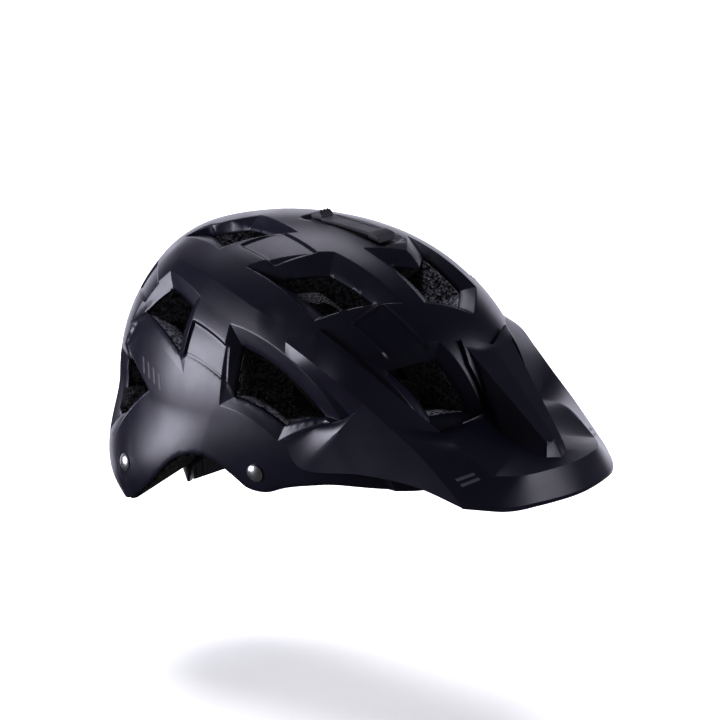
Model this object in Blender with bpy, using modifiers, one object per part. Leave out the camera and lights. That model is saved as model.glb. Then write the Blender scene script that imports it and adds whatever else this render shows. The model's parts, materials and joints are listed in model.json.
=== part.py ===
"""Trail cycling helmet, modelled as the separate pieces it is assembled from.

Metres, +X forward, +Y to the wearer's left, +Z up. The origin is under the middle of the helmet's
bounding box, on the level of its lowest point. Lengths below are in millimetres, measured from the
centre of the helmet's form, and at() turns them into the part's frame.

The curved pieces are drawn as outlines on a dome map: u is the angle forward from the crown and v
the angle to the side, both in degrees, so that hypot(u, v) is the angle down from the crown.

The shell, the foam and the pads are sheets laid over that map, the visor is strips between its
edges, and the straps are bands that follow the head: these lofts are the only hand-built faces,
since no modifier draws them. Prisms, cylinders and boxes come from the usual mesh tools.
"""
import math

import bmesh
import bpy
import numpy as np
from mathutils import Matrix, Vector
from mathutils.geometry import delaunay_2d_cdt

# ---- driving dimensions, mm and degrees ----
FORM_X = -38.8          # the form's centre from the part's origin, along X
FORM_Z = 81.55          # and along Z
SHELL_FORM = dict(front=157, rear=133.5, side=101, top=117.2, bottom=120)
HEAD_FORM = dict(front=110, rear=97, side=77, top=87, bottom=130)
FORM_POWER = 2.2        # 2 is an ellipsoid; more is squarer
LOBE_FLARE = 0.15       # share by which the rear lobes stand out of the form
DECK_BULGE = 0.032      # share by which the rear of the crown stands out of it
BROW_BULGE = 0.02       # and the upper forehead
SHELL_WALL = 1.9        # shell thickness, along the form's normal
GAP = 0.9               # shell to liner, along the form's normal; about 0.3 to 0.6 across a slope
LINER_OVERHANG = 1.2    # degrees that the foam reaches below the shell's rim
SIDE_DEPTH = 4.0        # the lower side body lies this far below the deck
SEAT_DEPTH = 3.0        # the accessory mount's recess
VISOR_STANDOFF = 3.1    # the visor's outer face from the shell
VISOR_WALL = 1.9
PIVOT = (63.0, 57.0)    # the visor's pivot, X and Z
GRID = 8.5              # spacing of the shell's inner points, degrees
WEB_WIDTH = 15.0        # strap webbing
WEB_THICK = 1.4
DIAL_CENTRE = (-79.2, 0.0, -60.5)
PINION_TEETH = 9
GEAR_MODULE = 1.0
MOUNT_REAR = (15.0, 118.0)    # the accessory mount's flat top, X and Z at its ends
MOUNT_FRONT = (63.0, 112.4)
MOUNT_HALF = 8.6        # half widths of the mount, of its cover and of its latch
COVER_HALF = 7.8
LATCH_HALF = 6.0
LATCH_PIVOT = (10.2, 117.7)
LATCH_BARREL = 1.5      # radius of the latch about its pivot
RIVET_FOOT = 5.8        # radius of a rivet head where it meets the shell
RIVET_TOP = 3.6
RIVET_HEIGHT = 1.8
ANCHOR_RADIUS = 8.5
ANCHOR_THICK = 1.8
DIVIDER_SIZE = (24, 22, 2.6)
LEVER_AXIS = (-9, 0, -3.2)    # the lever's pivot, in the divider's own frame
LEVER_BARREL = 1.2
LEVER_LENGTH = 20.0
LEVER_HALF = 7.5
BUCKLE_HALF = 3.6       # half thickness of the socket, and of the plug
PLUG_HALF = 3.4
COVER_SHARE = 0.92      # the cradle's rear cover against its front plate
KNOB_RADIUS = 11.5
KNOB_FLUTES = 12
KNOB_FLUTE = 0.93       # a flute's depth, as a share of the knob's radius
RACK_HALF = 20.0        # half length of a rack
RACK_BACK = 4.5         # from the pinion's pitch circle to a rack's back
WING_BAND = (15.0, 2.2)       # width and thickness
ARM_BAND = (11.0, 1.6)
PIN_RADIUS = 4.5
PIN_LENGTH = 4.2
PAD_THICK = 4.2
PAD_STEP = 7.0          # spacing of a pad's points, degrees
PAD_GAP = 1.1           # between a pad and the foam, where the hook tape is

# rim: (angle round from the front, angle down from the crown), front to rear
RIM = [(0, 101), (24, 103.4), (42, 104.5), (50, 106.3), (59, 109.4), (67, 113.2), (74, 113.6),
       (79, 112.6), (84, 110.6), (92, 106.8), (100, 105.1), (107, 107), (117, 114.2), (135, 121.6),
       (147, 123.6), (159, 120), (170, 116), (180, 114.5)]

# vents: opening corners, the matching corners of the bevel round it, and the opening's depth there.
# The crown and tail vents cross the centre line, so only their right half is given.
VENTS = {
    "upper": ([(-30, 14), (-15, 11.5), (0, 16), (-15.5, 24.3)],
              [(-36, 17.5), (-13, 7), (9.5, 15.5), (-13.5, 29)], [6, 6, 6, 5]),
    "top": ([(13, 36), (29, 25), (47, 24), (37, 38)],
            [(2, 35), (26, 18.5), (52, 18.5), (37, 41.5)], [7, 7, 7, 6]),
    "crown": ([(44, 0), (39.5, 8.5), (54, 8.5), (59, 0)],
              [(38.5, 0), (31, 11), (55, 13), (63, 0)], [7, 7, 6, 6]),
    "front": ([(63, 35), (68, 20), (84, 13.5), (80, 28.5)],
              [(56, 39), (65, 17), (87, 8), (83, 31)], [6, 6, 6, 6]),
    "side": ([(13, 61), (58, 61), (45, 76), (15, 79)],
             [(6, 55), (64, 56), (45, 82), (7, 84)], [5.5, 4.5, 3, 3]),
    "rear": ([(-32, 40), (-18, 49.6), (-21.5, 66), (-46, 43.5)],
             [(-32.5, 34.5), (-12, 47.5), (-18, 74), (-56, 42)], [5.5, 5, 3, 3]),
    "low": ([(-50.5, 70.5), (-59, 54), (-69, 45), (-84, 53), (-74, 62)],
            [(-45, 74), (-61, 46), (-71, 37), (-92, 51), (-80, 67)], [5, 5, 5, 5, 5]),
    "tail": ([(-67, 0), (-65, 13), (-76, 16.5), (-81, 0)],
             [(-60, 0), (-59, 17), (-79, 22), (-88, 0)], [5, 5, 5, 5]),
}
SIDE_LINE = [(-50, 44), (-43, 46), (-19, 67), (-16, 66), (10, 74), (15, 79), (45, 76), (58, 61),
             (70, 57), (85, 50), (100, 45)]
SEAT = [(2, 0), (2, 6), (34, 6), (34, 0)]
SEAT_FLOOR = [(3.2, 0), (3.2, 4.8), (32.8, 4.8), (32.8, 0)]

# the visor's edges, right half, as points in space
ARM_TOP = [(56, -87, 60), (72, -79, 66), (97, -75, 51), (121, -69, 33), (148, -51, 6),
           (167, -59, 2), (191, -56, -13.5)]
CREST = [(56, -90, 57), (78, -93, 49), (102, -96, 39.5), (119, -92, 28), (136, -88, 15),
         (158, -83.5, -2), (183, -80, -25)]
PRONG = [(57, -92, 50), (72, -92, 42), (92, -89, 28), (104, -86, 16)]
LOWER_EDGE = [(60, -98, -4), (74, -96, -21), (116, -91, -18), (153, -85.5, -20), (186, -80, -29)]
WELL_FRONT = [(191, -56, -13.5), (203, -42, -14), (208.5, -24, -14), (211, 0, -14)]
FRONT_EDGE = [(183, -80, -25), (203, -60, -30), (213.5, -36, -30), (219, 0, -30)]
FRONT_LIP = [(186, -80, -29), (203.5, -59.5, -33), (212.5, -35.5, -33), (217.5, 0, -33)]
SPINE_FOOT = [(148, -24, 44), (157, -14, 14), (170, -19, 3), (185, -17, -4), (200, -11, -10),
              (202, -5.5, -10.8), (204, 0, -11.6)]
SPINE_EDGE = [(142, -24, 59), (154, -20.6, 46), (170, -16, 28.5), (185, -11.7, 12.2), (198, -8, -2)]
SPINE_TOP = [(150, 0, 52), (160, 0, 41), (174, 0, 25.3), (187, 0, 10.8), (198.5, 0, -2)]
SPINE_END = [(198, -8, -2), (198.2, -4, -2), (198.5, 0, -2)]

# rivets as points near the shell; the straps, the dividers and the fit system's arms as
# (angle round, angle down, depth inside the head form)
RIVETS = {"front": (35, -97, -31), "rear": (-70, -86.4, -39.8)}
DIVIDER = (112, 88, 3.4)
STRAP_PATHS = {
    "strap_front": [(70, 100, 3.9), (80, 96, 1.7), (92, 92, 1.7), (101.5, 89, 1.7)],
    "strap_rear": [(129.5, 105, 3.9), (128.5, 101, 1.8), (126.5, 97.5, 1.8), (124.2, 94, 1.8)],
    "chin_strap": [(122, 82, 1.8), (136, 80, 1.8), (150, 79, 2.2), (160, 79, 4.0)],
}
LEFT_CHIN_END = (167, 79, 4.0)    # the left strap is longer, since the buckle is off centre
BUCKLE = (-84, 12)        # X and Z of the buckle's middle
LUG = [(-29, -9.5), (-27, -11.5), (-5, -11.5), (-1, -9), (-1, 9), (-5, 11.5), (-27, 11.5), (-29, 9.5)]
TONGUE = [(-0.6, -10), (15, -10), (18, -8), (18, 8), (15, 10), (-0.6, 10)]
PLUG_MIDDLE = 8
TEMPLE = (41.2, 69.4, -7.2)
WING_PATH = [(154, 126.5, 4.4), (148, 126, 2.4), (140, 124, 2.2), (131, 120, 2.2)]
ARM_PATH = [(128, 119.8, 2.2), (117, 114.5, 2.4), (104, 107.5, 3.4), (92, 102, 5.4), (80, 99.5, 6.2),
            (70, 97, 6.6), (60, 95, 6.6)]
BROW_PAD = [(84, 0), (82, 22), (74, 44), (60, 62), (70, 71), (87, 50), (96, 25), (98, 0)]
CROWN_PAD = [(28, 0), (26, 9), (8, 9), (-14, 7), (-34, 8), (-48, 9), (-54, 0)]
SIDE_PADS = {
    "side_pad": [(24, 44), (-6, 46), (-8, 56), (26, 57)],
    "rear_pad": [(-40, 30), (-52, 26), (-62, 25), (-64, 32), (-52, 36), (-42, 37)],
}

COLLECTION = "cycling_helmet"


# ---- frame ----
def at(x, y, z):
    """A point given from the form's centre in mm, in the part's frame in metres."""
    return Vector((x + FORM_X, y, z + FORM_Z)) * 0.001


def metres(points):
    """The same for an array of points."""
    return (np.asarray(points, float) + (FORM_X, 0, FORM_Z)) * 0.001


# ---- the forms ----
def smoothstep(x):
    x = np.clip(x, 0, 1)
    return x * x * (3 - 2 * x)


def map_to_direction(uv):
    uv = np.asarray(uv, float)
    down = np.radians(np.hypot(uv[:, 0], uv[:, 1]))
    round_ = np.arctan2(uv[:, 1], uv[:, 0])
    return np.c_[np.sin(down) * np.cos(round_), -np.sin(down) * np.sin(round_), np.cos(down)]


def polar_to_map(round_deg, down_deg):
    a = math.radians(round_deg)
    return down_deg * math.cos(a), down_deg * math.sin(a)


def form_radius(direction, form):
    """Distance from the form's centre to its surface along each direction."""
    x, y, z = direction.T
    along = np.where(x > 0, form["front"], form["rear"])
    up = np.where(z > 0, form["top"], form["bottom"])
    total = (np.abs(x) / along) ** FORM_POWER + (np.abs(y) / form["side"]) ** FORM_POWER
    radius = (total + (np.abs(z) / up) ** FORM_POWER) ** (-1 / FORM_POWER)
    if form is not SHELL_FORM:
        return radius
    down = np.degrees(np.arccos(np.clip(z, -1, 1)))
    round_ = np.degrees(np.arctan2(np.abs(y), x))
    lobe = smoothstep((down - 88) / 30) * smoothstep((round_ - 100) / 35)
    forward = down * np.cos(np.radians(round_))
    sideways = down * np.sin(np.radians(round_))
    deck = np.exp(-((forward + 40) / 13) ** 2 - (sideways / 26) ** 2)
    brow = np.exp(-((forward - 66) / 9) ** 2 - (sideways / 24) ** 2)
    return radius * (1 + LOBE_FLARE * lobe + DECK_BULGE * deck + BROW_BULGE * brow)


def surface(uv, form):
    direction = map_to_direction(uv)
    return direction * form_radius(direction, form)[:, None]


def surface_normal(uv, form):
    uv = np.asarray(uv, float)
    step = 0.05
    du = surface(uv + (step, 0), form) - surface(uv - (step, 0), form)
    dv = surface(uv + (0, step), form) - surface(uv - (0, step), form)
    normal = np.cross(dv, du)
    return normal / np.linalg.norm(normal, axis=1)[:, None]


def sunk(uv, form, depth):
    """Points on the form, moved inward by depth along its normal."""
    return surface(uv, form) - surface_normal(uv, form) * np.reshape(depth, (-1, 1))


# ---- outlines on the map ----
def catmull_rom(knots, step):
    """A smooth line through knots, in pieces of about step."""
    knots = [np.array(k, float) for k in knots]
    padded = [2 * knots[0] - knots[1]] + knots + [2 * knots[-1] - knots[-2]]
    line = []
    for a, b, c, d in zip(padded, padded[1:], padded[2:], padded[3:]):
        count = max(1, round(np.linalg.norm(c - b) / step))
        for t in np.arange(count) / count:
            line.append(0.5 * (2 * b + (c - a) * t + (2 * a - 5 * b + 4 * c - d) * t ** 2
                               + (3 * b - a - 3 * c + d) * t ** 3))
    line.append(knots[-1])
    return np.array(line)


def rim_line(extra, step):
    """The rim on the map, from the front to the rear of the right side."""
    line = catmull_rom(RIM, step)
    return np.array([polar_to_map(a, d + extra) for a, d in line])


def divide(line, step, closed):
    """A line of straight pieces with points added no further than step apart."""
    line = [np.array(p, float) for p in line]
    ends = line[1:] + line[:1] if closed else line[1:]
    out = []
    for a, b in zip(line, ends):
        count = max(1, math.ceil(np.linalg.norm(b - a) / step))
        out += [a + (b - a) * i / count for i in range(count)]
    if not closed:
        out.append(line[-1])
    return np.array(out)


def inside(points, polygon):
    """Which points lie inside a polygon."""
    x, y = np.asarray(points, float).T
    result = np.zeros(len(x), bool)
    for (x0, y0), (x1, y1) in zip(polygon, np.roll(polygon, -1, axis=0)):
        if y0 == y1:
            continue
        crosses = (y0 > y) != (y1 > y)
        result ^= crosses & (x < (x1 - x0) * (y - y0) / (y1 - y0) + x0)
    return result


def distance(points, line, closed):
    """Distance from each point to a line of straight pieces."""
    line = np.asarray(line, float)
    ends = np.roll(line, -1, axis=0) if closed else line[1:]
    best = np.full(len(points), 1e9)
    for a, b in zip(line, ends):
        ab = b - a
        t = np.clip((points - a) @ ab / (ab @ ab), 0, 1)
        best = np.minimum(best, np.linalg.norm(points - a - t[:, None] * ab, axis=1))
    return best


# ---- depth below the deck ----
def base_depth(uv):
    """Depth of the shell's surface, before the vents: the lower side body and the mount's recess."""
    uv = np.asarray(uv, float)
    below = SIDE_LINE + [(130, 60), (60, 140), (-60, 140), (-120, 60)]
    reach = distance(uv, SIDE_LINE, False)
    side = smoothstep(reach / 1.5) * (1 - smoothstep(reach / 26)) * smoothstep((uv[:, 0] + 66) / 16)
    depth = np.where(inside(uv, below), SIDE_DEPTH * side, 0.0)
    seat = SEAT + [(34, -6), (2, -6)]
    in_seat = inside(uv, seat) * smoothstep(distance(uv, seat, True) / 1.2)
    return depth + SEAT_DEPTH * in_seat


def in_triangle(points, a, b, c):
    """Barycentric weights of points in a triangle, and which points lie in it."""
    a, b, c = (np.array(p, float) for p in (a, b, c))
    across = np.array([b - a, c - a]).T
    weights = np.linalg.solve(across, (points - a).T).T
    full = np.c_[1 - weights.sum(1), weights]
    return full, (full > -1e-6).all(1)


def depth(uv):
    """Depth of the shell's surface below the deck, with the bevels round the vents."""
    uv = np.asarray(uv, float)
    result = base_depth(uv)
    for opening, bevel, sill in VENTS.values():
        count = len(opening)
        for i in range(count):
            j = (i + 1) % count
            for triangle, inner in (((bevel[i], bevel[j], opening[j]), (0, 0, 1)),
                                    ((bevel[i], opening[j], opening[i]), (0, 1, 1))):
                corners = [np.array(p, float) for p in triangle]
                if abs(np.cross(corners[1] - corners[0], corners[2] - corners[0])) < 1e-6:
                    continue
                weights, hit = in_triangle(uv, *triangle)
                levels = (sill[j], sill[j]) if sum(inner) == 1 else (sill[j], sill[i])
                share = weights @ np.array(inner, float)
                sunk_to = weights[:, 2] * levels[1] + (weights[:, 1] * levels[0] if inner[1] else 0)
                result = np.where(hit, (1 - share) * base_depth(uv) + sunk_to, result)
    return result


# ---- sheets on the map ----
def triangulate(loops, lines, holes, spacing, centre_line):
    """Triangles covering the first loop without the holes, following every loop and line."""
    points, edges = [], []
    for line, closed in [(loop, True) for loop in loops + holes] + [(line, False) for line in lines]:
        start = len(points)
        points += [tuple(p) for p in line]
        edges += [(start + i, start + i + 1) for i in range(len(line) - 1)]
        if closed:
            edges.append((start + len(line) - 1, start))
    u = np.arange(-130, 130, spacing)
    v = np.arange(-130, 130, spacing * 0.866)
    grid = np.array([(a + spacing * 0.5 * (row % 2), b) for row, b in enumerate(v) for a in u])
    keep = inside(grid, loops[0])
    for line, closed in [(loop, True) for loop in loops + holes] + [(line, False) for line in lines]:
        keep &= distance(grid, line, closed) > spacing * 0.5
    if centre_line:
        keep &= grid[:, 1] > spacing * 0.4
    for hole in holes:
        keep &= ~inside(grid, hole)
    points += [tuple(p) for p in grid[keep]]
    done = delaunay_2d_cdt([Vector(p) for p in points], edges, [], 0, 1e-4)
    flat = np.array([tuple(p) for p in done[0]])
    faces = np.array([f for f in done[2] if len(f) == 3])
    middle = flat[faces].mean(1)
    area = np.abs(np.cross(flat[faces[:, 1]] - flat[faces[:, 0]], flat[faces[:, 2]] - flat[faces[:, 0]]))
    wanted = inside(middle, loops[0]) & (area > 1e-5)
    for hole in holes:
        wanted &= ~inside(middle, hole)
    faces = faces[wanted]
    used = np.unique(faces)
    renumber = np.full(len(flat), -1)
    renumber[used] = np.arange(len(used))
    return flat[used], renumber[faces]


def two_sheets(name, flat, faces, outer, inner, mirrored):
    """A closed mesh from an outer and an inner sheet over the same map, joined at every free edge."""
    count = len(flat)
    polygons = [tuple(f) for f in faces] + [tuple(f[::-1] + count) for f in faces]
    seen = {}
    for face in faces:
        for a, b in zip(face, np.roll(face, -1)):
            seen[frozenset((a, b))] = None if frozenset((a, b)) in seen else (a, b)
    for edge in seen.values():
        if edge is None:
            continue
        a, b = edge
        if mirrored and abs(flat[a][1]) < 1e-3 and abs(flat[b][1]) < 1e-3:
            continue
        polygons.append((a, b, b + count, a + count))
    points = metres(np.r_[outer, inner])
    if mirrored:
        total = len(points)
        points = np.r_[points, points * (1, -1, 1)]
        polygons += [tuple(i + total for i in p[::-1]) for p in polygons]
    mesh = bpy.data.meshes.new(name)
    mesh.from_pydata([tuple(p) for p in points], [], [tuple(int(i) for i in p) for p in polygons])
    bm = bmesh.new()
    bm.from_mesh(mesh)
    bmesh.ops.remove_doubles(bm, verts=bm.verts, dist=2e-6)
    bmesh.ops.recalc_face_normals(bm, faces=bm.faces)
    bm.to_mesh(mesh)
    bm.free()
    return mesh


# ---- objects and materials ----
def material(name, colour, roughness, metallic=0.0):
    made = bpy.data.materials.new(name)
    made.use_nodes = True
    shader = made.node_tree.nodes["Principled BSDF"]
    shader.inputs["Base Color"].default_value = (*colour, 1)
    shader.inputs["Roughness"].default_value = roughness
    shader.inputs["Metallic"].default_value = metallic
    return made


FINISHES = {
    "shell": ((0.035, 0.034, 0.042), 0.5, 0.0),
    "foam": ((0.03, 0.03, 0.033), 0.85, 0.0),
    "plastic": ((0.02, 0.02, 0.022), 0.45, 0.0),
    "steel": ((0.75, 0.75, 0.77), 0.2, 1.0),
    "web": ((0.025, 0.025, 0.028), 0.9, 0.0),
    "pad": ((0.03, 0.03, 0.035), 0.95, 0.0),
}


def add(name, mesh, finish, parent=None, smooth_angle=None):
    made = bpy.data.objects.new(name, mesh)
    bpy.data.collections[COLLECTION].objects.link(made)
    colour, roughness, metallic = FINISHES[finish]
    made.data.materials.append(material(name, colour, roughness, metallic))
    if smooth_angle:
        mesh.shade_smooth()
        mesh.set_sharp_from_angle(angle=math.radians(smooth_angle))
    if parent is not None:
        made.parent = parent
        made.matrix_parent_inverse = parent.matrix_world.inverted()
    return made


def empty(name, point):
    made = bpy.data.objects.new(name, None)
    bpy.data.collections[COLLECTION].objects.link(made)
    made.location = point
    bpy.context.view_layer.update()
    return made


def finish_mesh(name, bm):
    bmesh.ops.recalc_face_normals(bm, faces=bm.faces)
    mesh = bpy.data.meshes.new(name)
    bm.to_mesh(mesh)
    bm.free()
    return mesh


def box(name, centre, size, frame=None, bevel=0.0):
    """A box of the given size in mm about a centre, turned by a 3x3 frame, with bevelled edges."""
    bm = bmesh.new()
    bmesh.ops.create_cube(bm, size=0.001)
    bmesh.ops.scale(bm, vec=size, verts=bm.verts)
    if bevel:
        bmesh.ops.bevel(bm, geom=bm.edges[:], offset=bevel * 0.001, segments=1, affect="EDGES")
    turn = (frame or Matrix.Identity(3)).to_4x4()
    bmesh.ops.transform(bm, matrix=Matrix.Translation(at(*centre)) @ turn, verts=bm.verts)
    return finish_mesh(name, bm)


def cylinder(name, centre, radius, length, axis, sides=16, top_radius=None):
    """A cylinder or cone in mm, centred on a point, along an axis."""
    bm = bmesh.new()
    end = radius if top_radius is None else top_radius
    bmesh.ops.create_cone(bm, cap_ends=True, segments=sides, radius1=radius * 0.001,
                          radius2=end * 0.001, depth=length * 0.001)
    turn = Vector(axis).to_track_quat("Z", "Y").to_matrix().to_4x4()
    bmesh.ops.transform(bm, matrix=Matrix.Translation(at(*centre)) @ turn, verts=bm.verts)
    return finish_mesh(name, bm)


def extruded(name, outline, low, high, place):
    """A flat outline extruded between two heights; place turns (a, b, height) into mm."""
    bm = bmesh.new()
    rings = [[bm.verts.new(at(*place(a, b, h))) for a, b in outline] for h in (low, high)]
    bm.faces.new(rings[0][::-1])
    bm.faces.new(rings[1])
    count = len(outline)
    for i in range(count):
        j = (i + 1) % count
        bm.faces.new((rings[0][i], rings[0][j], rings[1][j], rings[1][i]))
    return finish_mesh(name, bm)


def head_point(round_deg, down_deg, depth_in):
    """A point inside the head form's surface by depth_in, on the right side, and its frame."""
    uv = np.array([polar_to_map(round_deg, down_deg)])
    point = sunk(uv, HEAD_FORM, depth_in)[0]
    return point, surface_normal(uv, HEAD_FORM)[0]


def ribbon(name, path, width, thick, mirror, ends=1.0):
    """A flat band along a path of (angle round, angle down, depth inside the head form)."""
    fine = catmull_rom(path, 7.0)
    points, normals = zip(*(head_point(*p) for p in fine))
    points, normals = np.array(points), np.array(normals)
    tangents = np.gradient(points, axis=0)
    tangents /= np.linalg.norm(tangents, axis=1)[:, None]
    across = np.cross(tangents, normals)
    across /= np.linalg.norm(across, axis=1)[:, None]
    if mirror:
        points, normals, across = (v * (1, -1, 1) for v in (points, normals, across))
    bm = bmesh.new()
    rings = []
    for i, (p, n, a) in enumerate(zip(points, normals, across)):
        half = width / 2 * (ends if i in (0, len(points) - 1) else 1)
        corners = [(-half, -thick / 2), (half, -thick / 2), (half, thick / 2), (-half, thick / 2)]
        rings.append([bm.verts.new(at(*(p + a * s + n * t))) for s, t in corners])
    for low, high in zip(rings, rings[1:]):
        for i in range(4):
            j = (i + 1) % 4
            bm.faces.new((low[i], low[j], high[j], high[i]))
    bm.faces.new(rings[0][::-1])
    bm.faces.new(rings[-1])
    return finish_mesh(name, bm)


def pad(name, outline, mirror, on_centre):
    """A comfort pad: an outline on the map, lying on the foam's inner face."""
    loop = divide(outline, PAD_STEP, True)
    flat, faces = triangulate([loop], [], [], PAD_STEP, on_centre)
    edge = smoothstep(distance(flat, loop, True) / 4)
    if on_centre:
        edge = np.where(np.abs(flat[:, 1]) < 1e-3, 1.0, edge)
    outer = sunk(flat, HEAD_FORM, np.full(len(flat), PAD_GAP))
    inner = sunk(flat, HEAD_FORM, PAD_GAP + PAD_THICK * (0.55 + 0.45 * edge))
    if mirror:
        outer, inner = outer * (1, -1, 1), inner * (1, -1, 1)
    return two_sheets(name, flat, faces, outer, inner, on_centre)


# ---- shell and foam ----
def shell_map(spacing):
    """The right half of the shell on the map: rim, centre line, bevels and openings."""
    rim = rim_line(0, spacing * 0.75)
    centre = divide([rim[-1], rim[0]], spacing, False)[1:-1]
    bevels = []
    for opening, bevel, _ in VENTS.values():
        bevels.append(divide(bevel, spacing, False))
        if abs(bevel[0][1]) > 0:
            bevels.append(divide([bevel[-1], bevel[0]], spacing, False))
        bevels += [divide([a, b], spacing, False) for a, b in zip(opening, bevel)]
    seat = [divide(SEAT, spacing, False), divide(SEAT_FLOOR, spacing, False)]
    lines = bevels + seat + [divide(SIDE_LINE[:8], spacing, False)]
    holes = [divide(vent[0], spacing, True) for vent in VENTS.values()]
    return triangulate([np.r_[rim, centre]], lines, holes, spacing, True)


def outer_shell():
    flat, faces = shell_map(GRID)
    level = depth(flat)
    outer = sunk(flat, SHELL_FORM, level)
    inner = sunk(flat, SHELL_FORM, level + SHELL_WALL)
    add("outer_shell", two_sheets("outer_shell", flat, faces, outer, inner, True), "shell")


def eps_liner():
    flat, faces = shell_map(GRID)
    level = depth(flat)
    down = np.hypot(*flat.T)[:, None]
    at_rim = distance(flat, rim_line(0, GRID * 0.75), False)[:, None] < 1e-3
    lower = np.where(at_rim, flat * (down + LINER_OVERHANG) / np.maximum(down, 1), flat)
    outer = sunk(lower, SHELL_FORM, level + SHELL_WALL + GAP)
    inner = surface(lower, HEAD_FORM)
    add("eps_liner", two_sheets("eps_liner", flat, faces, outer, inner, True), "foam")


# ---- visor ----
def cut_up(corners, pieces):
    """A line through corners, each stretch cut into the same number of pieces."""
    corners = np.array(corners, float)
    line = [a + (b - a) * i / pieces for a, b in zip(corners, corners[1:]) for i in range(pieces)]
    return np.array(line + [corners[-1]])


def pushed_out(point, standoff):
    """A point moved outward, if need be, until it stands off the shell's form."""
    length = np.linalg.norm(point)
    direction = point / length
    reach = form_radius(direction[None], SHELL_FORM)[0] + standoff
    return direction * max(length, reach)


def strip(bm, side_a, side_b, rows, pieces=2):
    """Quads between two lines whose corners match one to one."""
    side_a, side_b = cut_up(side_a, pieces), cut_up(side_b, pieces)
    grid = []
    for row in range(rows + 1):
        line = side_a + (side_b - side_a) * row / rows
        grid.append([bm.verts.new(at(*pushed_out(p, VISOR_STANDOFF))) for p in line])
    for low, high in zip(grid, grid[1:]):
        for i in range(len(low) - 1):
            bm.faces.new((low[i], low[i + 1], high[i + 1], high[i]))


def visor():
    """The right half as strips between its edges, mirrored, then given its thickness."""
    bm = bmesh.new()
    strip(bm, ARM_TOP, CREST, 4)
    strip(bm, CREST[:4], PRONG, 2)
    strip(bm, [PRONG[-1]] + CREST[3:], LOWER_EDGE, 4)
    strip(bm, WELL_FRONT, FRONT_EDGE, 4)
    strip(bm, FRONT_EDGE, FRONT_LIP, 4)
    strip(bm, SPINE_FOOT[1:], ARM_TOP[4:] + WELL_FRONT[1:], 4)
    strip(bm, SPINE_EDGE, SPINE_FOOT[:5], 2)
    strip(bm, SPINE_TOP, SPINE_EDGE, 4)
    strip(bm, SPINE_END, SPINE_FOOT[4:], 2)
    bmesh.ops.remove_doubles(bm, verts=bm.verts, dist=5e-5)
    bmesh.ops.recalc_face_normals(bm, faces=bm.faces)
    centre = at(0, 0, 0)
    if sum(f.normal.dot(f.calc_center_median() - centre) for f in bm.faces) < 0:
        bmesh.ops.reverse_faces(bm, faces=bm.faces)
    mesh = bpy.data.meshes.new("visor")
    bm.to_mesh(mesh)
    bm.free()
    pivot = empty("visor_pivot", at(PIVOT[0], 0, PIVOT[1]))
    made = add("visor", mesh, "shell", pivot)
    mirror = made.modifiers.new("both halves", "MIRROR")
    mirror.use_axis = (False, True, False)
    mirror.use_clip = True
    mirror.merge_threshold = 0.00005
    wall = made.modifiers.new("wall", "SOLIDIFY")
    wall.thickness = VISOR_WALL * 0.001
    wall.offset = -1


def visor_discs():
    """The friction discs that the visor's arms turn on."""
    for side, sign in (("right", 1), ("left", -1)):
        direction = Vector((PIVOT[0], -88, PIVOT[1])).normalized()
        down = math.degrees(math.acos(direction.z))
        u, v = polar_to_map(math.degrees(math.atan2(-direction.y, direction.x)), down)
        ring = [(u + 1.8 * math.cos(a), v + 1.8 * math.sin(a)) for a in np.arange(16) * math.pi / 8]
        flat, faces = triangulate([np.array(ring)], [], [], 9, False)
        outer, inner = (sunk(flat, SHELL_FORM, -h) * (1, sign, 1) for h in (0.62, 0.25))
        mesh = two_sheets("disc", flat, faces, outer, inner, False)
        add("visor_disc_" + side, mesh, "plastic")


# ---- accessory mount on the crown ----
def mount_line(x, lift):
    """Height of the mount's flat top at x, plus a lift."""
    share = (x - MOUNT_REAR[0]) / (MOUNT_FRONT[0] - MOUNT_REAR[0])
    return MOUNT_REAR[1] + (MOUNT_FRONT[1] - MOUNT_REAR[1]) * share + lift


def crown_height(x, sink):
    """Height of the form on the centre line at x, less a sink."""
    uv = np.array([[math.degrees(math.atan2(x, 116)), 4.2]])
    point = sunk(uv, SHELL_FORM, sink)[0]
    return point[2]


def across(a, b, h):
    """An outline given as X and Z, extruded along Y."""
    return a, h, b


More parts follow.
